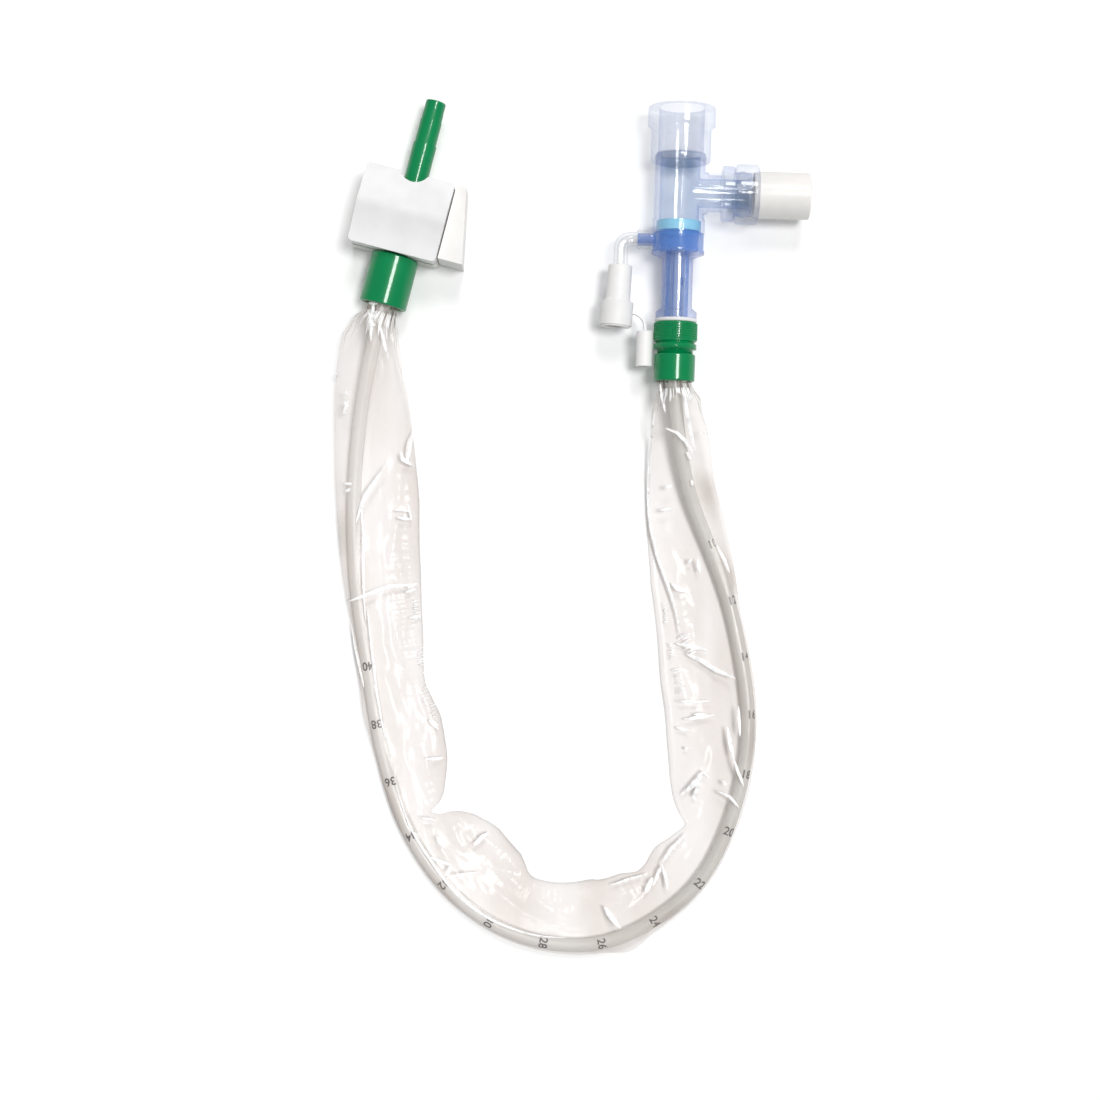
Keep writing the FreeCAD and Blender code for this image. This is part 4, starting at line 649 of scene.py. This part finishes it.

# Creases, drawn white as painted highlights: half width, then places and offsets to the outside that each runs
# through, in millimetres
STREAKS = [
    (0.50, (23.94, -10.5), (23.73, -7.4), (23.46, -3.7), (23.09, -1.0)),
    (0.71, (24.45, -17.8), (24.25, -17.4), (23.98, -17.2)),
    (0.55, (24.14, -15.0), (24.04, -15.8), (23.96, -19.6)),
    (0.41, (23.29, -14.0), (23.3, -16.2), (23.27, -18.6)),
    (0.42, (23.18, -14.8), (23.16, -17.0), (23.14, -19.8)),
    (0.37, (23.37, -18.5), (23.14, -19.6)),
    (0.53, (21.96, 3.2), (22.03, -3.3), (22.12, -10.7), (22.1, -20.8)),
    (0.39, (22.0, -16.1), (22.04, -19.9)),
    (0.37, (22.07, -17.1), (22.12, -20.5)),
    (0.37, (24.99, 10.7), (25.02, 8.8)),
    (0.37, (24.82, 6.1), (24.8, 4.4)),
    (0.37, (24.7, 5.9), (24.65, 4.1)),
    (0.36, (24.54, 5.6), (24.73, 4.3)),
    (0.37, (23.64, 3.1), (23.64, 0.5)),
    (0.37, (23.53, 2.6), (23.57, 1.1)),
    (0.37, (23.38, -2.9), (22.91, -3.5), (21.65, -1.9)),
    (0.42, (25.84, 4.0), (25.73, 1.6), (25.5, 0.4)),
    (0.39, (25.75, -0.7), (25.64, -2.3), (25.34, -6.5)),
    (0.44, (25.79, 2.6), (25.72, 2.0), (25.69, 0.3)),
    (0.44, (25.91, 4.4), (25.92, 1.3)),
    (0.42, (25.91, 2.8), (25.84, 2.2), (25.77, 2.4)),
    (0.45, (3.74, -4.4), (3.85, -0.8), (4.01, 1.5), (4.25, 3.6)),
    (0.53, (3.15, 2.8), (3.41, 3.0), (3.67, 3.4), (3.93, 4.0), (4.21, 4.4)),
    (0.39, (4.23, 1.6), (4.38, 2.6)),
    (0.37, (2.94, -5.2), (3.17, -4.7), (3.46, -4.1)),
    (0.39, (3.44, -7.5), (3.83, -9.2), (4.41, -11.4), (5.01, -14.5), (5.43, -16.4), (5.88, -17.6),
     (6.32, -17.7), (6.71, -17.9), (7.08, -18.3), (7.42, -18.9)),
    (0.52, (4.76, -7.2), (4.76, -5.2)),
    (0.37, (5.11, -11.2), (5.15, -7.4)),
    (0.65, (6.38, -16.4), (6.52, -15.1), (6.66, -11.4)),
    (0.42, (6.15, -5.2), (6.38, -6.1)),
    (0.42, (6.17, -8.6), (6.11, -7.1)),
    (0.41, (6.04, 2.4), (6.35, 3.0), (6.57, 3.1)),
    (0.36, (3.89, 7.1), (3.93, 10.1)),
    (0.39, (4.75, 1.5), (4.86, 1.3)),
    (0.60, (7.78, -18.1), (7.96, -13.1), (8.15, -9.2), (8.34, -3.3)),
    (0.58, (7.55, -20.8), (7.67, -15.7), (7.78, -10.7)),
    (0.35, (8.63, -24.0), (8.69, -17.8), (8.71, -12.0)),
    (0.47, (9.07, -21.7), (9.03, -17.2), (8.98, -11.4)),
    (0.37, (8.96, -18.5), (8.97, -13.6)),
    (0.41, (9.27, -24.4), (9.33, -19.7)),
    (0.50, (9.21, -7.2), (9.51, -6.0), (9.79, -4.2)),
    (0.39, (9.79, -4.2), (10.01, -2.0), (10.23, 0.7)),
    (0.41, (8.83, -3.4), (9.07, -3.3), (9.37, -2.9)),
    (0.36, (10.71, -18.5), (10.42, -16.2), (10.13, -13.4), (10.25, -10.4)),
    (0.68, (10.58, -17.3), (10.43, -15.4), (10.23, -13.7)),
    (0.49, (10.69, -14.4), (10.49, -14.0), (10.36, -13.8)),
    (0.39, (10.43, -7.3), (10.46, -3.0), (10.6, 1.1)),
    (0.37, (10.21, -6.2), (10.29, -4.7)),
    (0.37, (9.72, -21.1), (9.73, -19.5)),
    (0.39, (12.26, -13.7), (11.82, -14.3), (11.38, -12.2)),
    (0.45, (12.71, -9.9), (12.49, -11.8), (12.25, -13.4)),
    (0.61, (12.93, -9.3), (12.77, -10.9), (12.61, -12.2)),
    (0.41, (12.26, -13.5), (12.4, -9.3), (12.53, -6.1)),
    (0.71, (13.79, -11.8), (13.71, -7.6), (13.63, -3.4)),
    (0.36, (13.46, -17.7), (13.05, -16.4), (12.64, -14.2)),
    (0.37, (21.59, -16.2), (21.58, -20.4)),
    (0.44, (19.18, -13.8), (19.14, -16.4), (19.11, -19.4)),
    (0.36, (18.2, -5.8), (18.12, -7.9), (18.03, -10.1)),
    (0.57, (17.78, -7.4), (17.66, -7.7), (17.5, -7.8)),
    (0.47, (17.52, -2.3), (17.37, -4.0), (17.18, -6.3)),
    (0.45, (17.12, -2.1), (17.14, -4.6), (17.19, -6.3)),
    (0.65, (17.21, -16.2), (17.23, -19.2), (17.23, -22.7)),
    (0.35, (17.04, -4.1), (16.89, -7.7), (16.73, -11.2)),
    (0.61, (19.87, -17.6), (19.78, -18.9), (19.66, -19.9)),
    (0.37, (21.64, 4.0), (21.18, 3.0), (20.62, 2.2)),
    (0.37, (19.71, -2.2), (20.09, -2.0), (20.59, -1.9), (21.23, -2.3), (21.79, -3.0)),
    (0.36, (18.89, -1.7), (18.17, -1.2), (17.48, -1.7), (16.73, -1.1), (16.05, -1.4), (15.35, -2.1), (14.64, -3.1)),
]

# Fans of short creases, white as painted highlights: place and offset of both ends of the row, how many, and how long
# each is
TICKS = [
    (21.74, -19.1, 21.53, -18.9, 5, 2.6),
    (21.86, -19.4, 21.59, -19.6, 6, 2.4),
    (21.11, -19.0, 20.82, -18.2, 6, 3.4),
    (20.72, -18.4, 20.18, -17.6, 8, 1.6),
    (20.14, -19.7, 19.71, -19.6, 6, 1.8),
    (7.38, -18.2, 7.8, -15.8, 8, 4.0),
    (7.98, -22.3, 8.51, -22.0, 9, 3.0),
    (6.7, -21.0, 7.15, -22.6, 7, 1.2),
    (7.5, -22.6, 7.87, -23.4, 6, 1.5),
    (6.75, -20.7, 7.06, -22.0, 6, 1.2),
    (7.54, -21.8, 7.77, -22.5, 5, 1.4),
    (12.19, -13.7, 11.43, -12.6, 9, 0.7),
    (12.3, -12.8, 12.53, -6.4, 7, 0.7),
    (24.82, 6.1, 24.55, 4.5, 6, 1.2),
]

FILM_STEPS = 500  # rings of the film along the route
FILM_CORNERS = 72  # corners of each ring: FILM_OUTER over the tube, then FILM_TOP over the inner half
FILM_OUTER = 20
FILM_TOP = 30
FOLD_HEIGHT = 0.9  # thickness of the fold at the film's inner edge, in millimetres
QUARTER = 0.125  # where on the round section a ring's first corner lies, as a share of the turn

# The film's ends inside the collars: a round section as in the table, and where its rings lie
GRIP = [5.5, 5.5, -5.5, 11.0, 0.0, 0.0, 0.05]
FRONT_GRIP = (-0.0850, -0.0917)
VALVE_TIP = (-0.0827, -0.0001, FLOOR + 0.009)
VALVE_TURN = math.radians(103.0)
VALVE_GRIP = (0.0708, 0.0640)
GATHER = 0.22  # how far a collar's pleats show along the film, in places of the route
STRANDS = 26  # frayed strands at each end of the film
STRAND_START, STRAND_SPREAD = 0.14, 0.47  # where on a ring the strands stand, as shares of its corners
CREASE_LIFT = 0.00012  # how far a crease stands over the film
STRAND_LIFT = 0.00015  # how far a strand stands out of it


def film_slope(index, column):
    """How fast a measure of the film changes at a row of the table; level where it turns."""
    if not 0 < index < len(FILM) - 1:
        return 0.0
    here, before, after = FILM[index], FILM[index - 1], FILM[index + 1]
    first = (here[column] - before[column]) / (here[0] - before[0])
    second = (after[column] - here[column]) / (after[0] - here[0])
    return 2 * first * second / (first + second) if first * second > 0 else 0.0


def film_form(place):
    """The film's measures at a place, read smoothly from the table."""
    index = 0
    while index < len(FILM) - 2 and place > FILM[index + 1][0]:
        index += 1
    low, high = FILM[index], FILM[index + 1]
    run = high[0] - low[0]
    share = clamped((place - low[0]) / run)
    rest = 1 - share
    form = []
    for column in range(1, len(low)):
        value = low[column] * (1 + 2 * share) * rest * rest + high[column] * share * share * (3 - 2 * share)
        value += run * share * rest * (film_slope(index, column) * rest - film_slope(index + 1, column) * share)
        form.append(value)
    return form


def pleats(angle, place):
    """Uneven gathers round the section, between -1 and 1."""
    wander = 0.4 * math.sin(3.1 * place) + 0.7 * noise.noise(Vector((math.cos(angle), math.sin(angle), place * 0.5)))
    broad = math.sin(5 * angle + wander)
    sharp = 1 - 2 * abs(math.sin(5.5 * angle + 1.3 + 1.5 * wander))
    return 0.4 * broad + 0.6 * sharp


def film_corner(index, form):
    """A corner of the section: offset to the outside, height, and a share 0 to 1 over the inner top."""
    outer, inner, lift, crown, puff, flat, pleat, place = form
    angle = 2 * math.pi * (index / FILM_CORNERS - QUARTER)
    depth = 1 + 1.5 * pleat * pleats(angle, place)
    round_across = (outer - inner) / 2 + (outer + inner) / 2 * math.cos(angle) * depth
    round_up = lift + crown / 2 + crown / 2 * math.sin(angle) * depth
    top = 0.0
    if index < FILM_OUTER:
        turn = math.pi * (index / (FILM_OUTER - 1) - 0.5)
        across = outer * math.cos(turn)
        up = lift + crown / 2 * (1 + math.sin(turn))
    elif index < FILM_OUTER + FILM_TOP:
        share = (index - FILM_OUTER + 1) / FILM_TOP
        across = -inner * (0.02 + 0.95 * share)
        slope = 0.5 + 0.5 * math.cos(math.pi * min(1.0, share * 2.2))
        body = puff * math.sqrt(max(0.0, 1 - share ** 3)) + FOLD_HEIGHT * share ** 3
        up = lift + crown * slope + body * (1 - slope)
        top = share
    elif index == FILM_OUTER + FILM_TOP:
        across, up = -inner, lift + FOLD_HEIGHT / 2
    else:
        share = (FILM_CORNERS - index) / (FILM_CORNERS - FILM_OUTER - FILM_TOP)
        across, up = -inner * 0.97 * share, lift
    return round_across + (across - round_across) * flat, round_up + (up - round_up) * flat, top


def film_wrinkles(place, share, across, flat):
    """Height of the small wrinkles across the inner half."""
    edge = clamped((share - 0.45) / 0.35) * clamped((1.0 - share) / 0.06)
    along = place * PITCH
    strength = 0.25 + 1.1 * max(0.0, noise.noise(Vector((along * 0.045, 0.0, 7.0))))
    for low, high, more in ((20.2, 23.4, 1.2), (6.4, 8.4, 1.1), (9.8, 10.8, 0.6), (12.2, 13.4, 0.5)):
        if low < place < high:
            strength += more * math.sin(math.pi * (place - low) / (high - low))
    phase = along * 2.1 + 1.5 * noise.noise(Vector((along * 0.25, share * 2.0, 1.0))) + 1.2 * share
    ridge = 1 - 2 * abs(math.sin(phase / 2))
    small = 0.26 * strength * edge * flat * ridge
    soft = 0.9 * noise.noise(Vector((along * 0.055, across * 0.16, 5.0)))
    soft += 0.45 * noise.noise(Vector((along * 0.13, across * 0.4, 11.0)))
    return small + soft * flat * min(1.0, share * 4) * min(1.0, (1.0 - share) * 5)


def film_section(place, centre, travel, tight=None):
    """One ring of the film: each corner's spot, its painted highlight on the pleat ridges, and its shade: random
    tone, with painted shade on the outer side over the tube and in the pleat valleys.
    """
    form = (tight or film_form(place)) + [place]
    side = outward(travel)
    flat = form[5]
    ring = []
    for index in range(FILM_CORNERS):
        across, up, share = film_corner(index, form)
        if share > 0.0:
            lift = film_wrinkles(place, share, across, flat)
            up += lift
            if share > 0.9:
                across -= 0.5 * lift
        elif not tight and index > FILM_OUTER + FILM_TOP:
            up += 0.15
        shade = clamped(0.5 + 0.5 * noise.noise(Vector((place * 0.9, across * 0.12, 2.0))))
        # Painted shade on the outer side, over the tube.
        if index < FILM_OUTER:
            shade += 0.5 * flat
        gather = max(0.0, 1 - min(abs(place - FILM[0][0]), abs(place - FILM[-1][0])) / GATHER)
        fold = pleats(2 * math.pi * (index / FILM_CORNERS - QUARTER), place)
        # Near the collars: painted shade in the pleat valleys, painted highlight on the pleat ridges.
        shade += gather * max(0.0, -fold) * 2.2
        white = 0.8 * gather * max(0.0, fold - 0.35)
        base = centre.z if tight else FLOOR
        ring.append((Vector((centre.x, centre.y, base)) + side * across * MM + Vector((0, 0, up * MM)), white, shade))
    return ring


class CATHETER_OT_sleeve(bpy.types.Operator):
    """The film sleeve: gathered in both collars, lying flat beside the tube and wrinkled."""

    bl_idname = "catheter.sleeve"
    bl_label = "Film sleeve"

    def execute(self, context):
        rings = []
        for along in FRONT_GRIP:
            rings.append(film_section(3.0, Vector((0, along, 0)), Vector((0, -1, 0)), GRIP))
        first, last = FILM[0][0], FILM[-1][0]
        for step in range(FILM_STEPS + 1):
            place = first + (last - first) * step / FILM_STEPS
            centre, travel = at_place(place)
            rings.append(film_section(place, centre, travel))
        axis = Vector((math.cos(VALVE_TURN), -math.sin(VALVE_TURN), 0))
        for reach in VALVE_GRIP:
            rings.append(film_section(26.0, Vector(VALVE_TIP) + axis * reach, -axis, GRIP))
        vertices = [spot[0] for ring in rings for spot in ring]
        count = FILM_CORNERS
        faces = [
            (r * count + c, (r + 1) * count + c, (r + 1) * count + (c + 1) % count, r * count + (c + 1) % count)
            for r in range(len(rings) - 1)
            for c in range(count)
        ]
        sleeve = piece("film_sleeve", vertices, faces, "film", ("sleeve",))
        for name, place in (("crease", 1), ("shade", 2)):
            layer = sleeve.data.attributes.new(name, "FLOAT", "POINT")
            layer.data.foreach_set("value", [spot[place] for ring in rings for spot in ring])
        face_outward(sleeve.data)
        return {"FINISHED"}


def film_spot(place, across):
    """The spot of the film's top side at a place and an offset to the outside in millimetres."""
    centre, travel = at_place(place)
    side = outward(travel)
    ring = film_section(place, centre, travel)
    top = [spot[0] for spot in ring[FILM_OUTER // 2 : FILM_OUTER + FILM_TOP + 1]]
    offsets = [(spot - centre).dot(side) / MM for spot in top]
    for index in range(len(top) - 1):
        if offsets[index + 1] <= across <= offsets[index]:
            share = (offsets[index] - across) / max(1e-9, offsets[index] - offsets[index + 1])
            return top[index].lerp(top[index + 1], share)
    return top[0] if across > offsets[0] else top[-1]


def sliver(path, half, vertices, faces):
    """A thin closed ridge over a path of spots and their outward ways, tapering to both ends."""
    first, last = len(vertices), len(path) - 1
    for index, (spot, up) in enumerate(path):
        ahead = path[min(last, index + 1)][0] - path[max(0, index - 1)][0]
        across = ahead.cross(up).normalized()
        width = 1.35 * half * MM * (0.12 + 0.88 * math.sin(math.pi * (index + 0.2) / (last + 0.4)) ** 0.7)
        rise = min(0.00005, width / 8)
        vertices += [spot + across * width, spot + up * rise, spot - across * width, spot - up * 0.0001]
    for index in range(last):
        start = first + 4 * index
        faces += [
            (start + corner, start + (corner + 1) % 4, start + 4 + (corner + 1) % 4, start + 4 + corner)
            for corner in range(4)
        ]
    faces += [(first, first + 3, first + 2, first + 1), tuple(first + 4 * last + corner for corner in range(4))]


class CATHETER_OT_creases(bpy.types.Operator):
    """The film's creases, white as painted highlights, and the frayed ends that stand out of both collars, in the
    same painted white.
    """

    bl_idname = "catheter.creases"
    bl_label = "Film creases"

    def execute(self, context):
        vertices, faces = [], []
        runs = [(half, points) for half, *points in STREAKS]
        for place, across, end, last, count, length in TICKS:
            way = Vector(((end - place) * PITCH, last - across)).normalized().orthogonal() * length / 2
            for index in range(count):
                share = (index + random.uniform(0.1, 0.9)) / count
                middle = Vector((place + (end - place) * share, across + (last - across) * share))
                reach = Vector((way.x / PITCH, way.y)) * random.uniform(0.6, 1.2)
                runs.append((random.uniform(0.09, 0.2), [tuple(middle - reach), tuple(middle + reach)]))
        for half, points in runs:
            path = []
            for (place, across), (end, last) in zip(points, points[1:]):
                far = math.hypot((end - place) * PITCH, last - across)
                parts = max(3, int(far / 0.7))
                for index in range(parts):
                    share = index / parts
                    wave = 0.12 * noise.noise(Vector((place * 9 + share * far, across, 3.0)))
                    path.append(film_spot(place + (end - place) * share, across + (last - across) * share + wave))
            path.append(film_spot(*points[-1]))
            sliver([(spot + UP * CREASE_LIFT, UP) for spot in path], half, vertices, faces)
        for start, way in ((FILM[0][0], 1), (FILM[-1][0], -1)):
            for index in range(STRANDS):
                spread = STRAND_SPREAD * (index + random.uniform(0.0, 0.8)) / STRANDS
                corner = round(FILM_CORNERS * (STRAND_START + spread))
                reach = random.uniform(2.0, 5.5)
                path = []
                for part in range(6):
                    place = start + way * (0.01 + reach / PITCH * part / 5)
                    centre, travel = at_place(place)
                    spot = film_section(place, centre, travel)[corner][0]
                    out = (spot - centre - Vector((0, 0, 0.0015))).normalized()
                    path.append((spot + out * STRAND_LIFT, out))
                sliver(path, random.uniform(0.1, 0.3), vertices, faces)
        creases = piece("film_creases", vertices, faces, "crease", smooth=False)
        face_outward(creases.data)
        return {"FINISHED"}


class CATHETER_OT_mouldings(bpy.types.Operator):
    """The hard pieces: the CAD shapes with their own finishes."""

    bl_idname = "catheter.mouldings"
    bl_label = "Mouldings"

    def execute(self, context):
        for node, finish, name, slot, *soften in (
            ("patient_swivel", "swivel", "patient_swivel_clear", "clear_lilac_plastic"),
            ("side_swivel", "side", "side_swivel_clear", "clear_lilac_plastic"),
            ("t_piece_body", "body", "t_piece_clear", "clear_blue_plastic"),
            ("circuit_adapter", "ivory", "circuit_adapter_ivory", "ivory_plastic"),
            ("seal_ring", "cyan", "seal_ring_cyan", "cyan_rubber"),
            ("catheter_guide", "guide", "catheter_guide_blue", "dark_blue_plastic"),
            ("irrigation_elbow", "elbow", "irrigation_elbow_clear", "clear_plastic"),
            ("irrigation_port", "soft", "irrigation_port_white", "soft_white_plastic"),
            ("irrigation_valve", "silicone", "irrigation_duckbill", "silicone"),
            ("irrigation_cap", "soft", "irrigation_cap_white", "soft_white_plastic", 0.0003),
            ("seal_washer", "white", "washer_white", "white_plastic"),
            ("front_nut", "green", "front_nut_green", "green_plastic"),
            ("front_seal", "silicone", "wiper_seal", "silicone"),
            ("front_collar", "green", "front_collar_green", "green_plastic"),
            ("rear_collar", "green", "rear_collar_green", "green_plastic"),
            ("valve_body", "green", "valve_body_green", "green_plastic"),
            ("valve_base", "cream", "valve_base_white", "white_plastic", 0.0004),
            ("thumb_button", "white", "thumb_button_white", "white_plastic", 0.0005),
            ("valve_plunger", "white", "valve_plunger_white", "white_plastic"),
            ("plunger_seal", "silicone", "plunger_ring", "silicone"),
            ("return_bellows", "silicone", "return_bellows_soft", "silicone"),
        ):
            thing = refined(node, finish, name, slot, *soften)
            if node == "return_bellows":
                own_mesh(thing)
        return {"FINISHED"}


def knurl_tree(finish):
    """Rows of small studs round a tube along Y; the sizes are the tree's own inputs."""
    tree = bpy.data.node_groups.new("knurl", "GeometryNodeTree")
    tree.interface.new_socket("Geometry", in_out="OUTPUT", socket_type="NodeSocketGeometry")
    for name, kind in (("Radius", "Float"), ("Length", "Float"), ("Middle", "Vector"), ("Around", "Int"),
                       ("Rows", "Int"), ("Stud Radius", "Float"), ("Stud Height", "Float")):
        tree.interface.new_socket(name, in_out="INPUT", socket_type=f"NodeSocket{kind}")

    def add(kind, settings=None, **inputs):
        node = tree.nodes.new(kind)
        for name, value in (settings or {}).items():
            setattr(node, name, value)
        for name, value in inputs.items():
            socket = node.inputs[name.replace("_", " ")]
            if isinstance(value, bpy.types.NodeSocket):
                tree.links.new(value, socket)
            else:
                socket.default_value = value
        return node

    given = add("NodeGroupInput").outputs
    wall = add("GeometryNodeMeshCylinder", {"fill_type": "NONE"}, Vertices=given["Around"],
               Side_Segments=given["Rows"], Radius=given["Radius"], Depth=given["Length"])
    laid = add("GeometryNodeTransform", Geometry=wall.outputs["Mesh"], Rotation=(math.radians(90), 0, 0),
               Translation=given["Middle"])
    stud = add("GeometryNodeMeshCone", Vertices=4, Radius_Top=0.0, Radius_Bottom=given["Stud Radius"],
               Depth=given["Stud Height"])
    normal = add("GeometryNodeInputNormal")
    facing = add("FunctionNodeAlignRotationToVector", {"axis": "Z"}, Vector=normal.outputs["Normal"])
    studs = add("GeometryNodeInstanceOnPoints", Points=laid.outputs["Geometry"], Instance=stud.outputs["Mesh"],
                Rotation=facing.outputs["Rotation"])
    real = add("GeometryNodeRealizeInstances", Geometry=studs.outputs["Instances"])
    coated = add("GeometryNodeSetMaterial", Geometry=real.outputs["Geometry"], Material=finish)
    add("NodeGroupOutput", Geometry=coated.outputs["Geometry"])
    return tree


class CATHETER_OT_knurl(bpy.types.Operator):
    """The fine knurl round the front nut's grip."""

    bl_idname = "catheter.knurl"
    bl_label = "Nut knurl"

    def execute(self, context):
        tree = knurl_tree(FINISHES["green"])
        thing = added("nut_knurl", bpy.data.meshes.new("nut_knurl"))
        modifier = thing.modifiers.new("knurl", "NODES")
        modifier.node_group = tree
        values = {"Radius": 0.00715, "Length": 0.0048, "Middle": (0.0, -0.0753, 0.0), "Around": 54, "Rows": 6,
                  "Stud Radius": 0.00042, "Stud Height": 0.00028}
        for socket in tree.interface.items_tree:
            if socket.in_out == "INPUT":
                modifier[socket.identifier] = values[socket.name]
        thing.data = made_plain(thing)
        bpy.data.node_groups.remove(tree)
        settled(thing, "green", smooth=False)
        return {"FINISHED"}


class CATHETER_OT_stage(bpy.types.Operator):
    """Pale floor, soft lamps and the camera, which looks straight down."""

    bl_idname = "catheter.stage"
    bl_label = "Stage"

    def execute(self, context):
        look = context.scene.stage_look
        mesh = bpy.data.meshes.new("floor")
        size = 6.0
        corners = [(-size, -size), (size, -size), (size, size), (-size, size)]
        mesh.from_pydata([(x, y, FLOOR - 0.00005) for x, y in corners], [], [(0, 1, 2, 3)])
        floor = added("floor", mesh)
        finish = Finish("pale_floor", (0.93, 0.93, 0.93), 0.7, Specular_IOR_Level=0.1)
        seen = finish.number(finish.node("ShaderNodeLightPath").outputs["Is Camera Ray"])
        finish.vary(Emission_Color=finish.mixed(seen, (0.0, 0.0, 0.0), (0.08, 0.08, 0.08)), Emission_Strength=1.0)
        mesh.materials.append(finish.material)
        world = bpy.data.worlds.new("studio")
        world.use_nodes = True
        background = world.node_tree.nodes["Background"]
        background.inputs["Color"].default_value = (1.0, 1.0, 1.0, 1.0)
        background.inputs["Strength"].default_value = look.sky
        context.scene.world = world
        for name, way, level in (("key", (0.25, 0.05, 0.967), look.key), ("fill", (0.08, 0.56, 0.82), look.fill)):
            direction = Vector(way).normalized()
            lamp = bpy.data.lights.new(f"{name}_lamp", "SUN")
            lamp.angle = look.softness
            lamp.energy = level * math.pi / direction.z
            thing = added(f"{name}_lamp", lamp)
            thing.location = direction
            thing.rotation_euler = direction.to_track_quat("Z", "Y").to_euler()
        lens = bpy.data.cameras.new("camera")
        lens.sensor_width = 36.0
        lens.lens = look.lens
        lens.clip_start = 0.01
        camera = added("camera", lens)
        camera.location = (-0.03984, -0.14965, look.camera_height)
        camera.rotation_euler = Euler((0.0, 0.0, look.roll))
        context.scene.camera = camera
        context.scene.view_settings.view_transform = "Standard"
        return {"FINISHED"}


class CATHETER_PT_panel(bpy.types.Panel):
    """Lists the steps that build the catheter."""

    bl_label = "Closed suction catheter"
    bl_idname = "CATHETER_PT_panel"
    bl_space_type = "VIEW_3D"
    bl_region_type = "UI"
    bl_category = "Catheter"

    def draw(self, context):
        for name in STEPS:
            self.layout.operator(f"catheter.{name}")
        for group in (context.scene.catheter_look, context.scene.stage_look):
            for name in group.bl_rna.properties.keys():
                if name not in ("rna_type", "name"):
                    self.layout.prop(group, name)


STEPS = ("stage", "finishes", "tube", "mouldings", "knurl", "sleeve", "creases")
CLASSES = (
    CatheterLook,
    StageLook,
    CATHETER_OT_finishes,
    CATHETER_OT_tube,
    CATHETER_OT_sleeve,
    CATHETER_OT_creases,
    CATHETER_OT_mouldings,
    CATHETER_OT_knurl,
    CATHETER_OT_stage,
    CATHETER_PT_panel,
)


def register():
    for thing in CLASSES:
        bpy.utils.register_class(thing)
    bpy.types.Scene.catheter_look = bpy.props.PointerProperty(type=CatheterLook)
    bpy.types.Scene.stage_look = bpy.props.PointerProperty(type=StageLook)


def unregister():
    del bpy.types.Scene.stage_look
    del bpy.types.Scene.catheter_look
    for thing in reversed(CLASSES):
        bpy.utils.unregister_class(thing)


def main():
    random.seed(7)
    register()
    for name in STEPS:
        getattr(bpy.ops.catheter, name)()


if __name__ == "__main__":
    main()
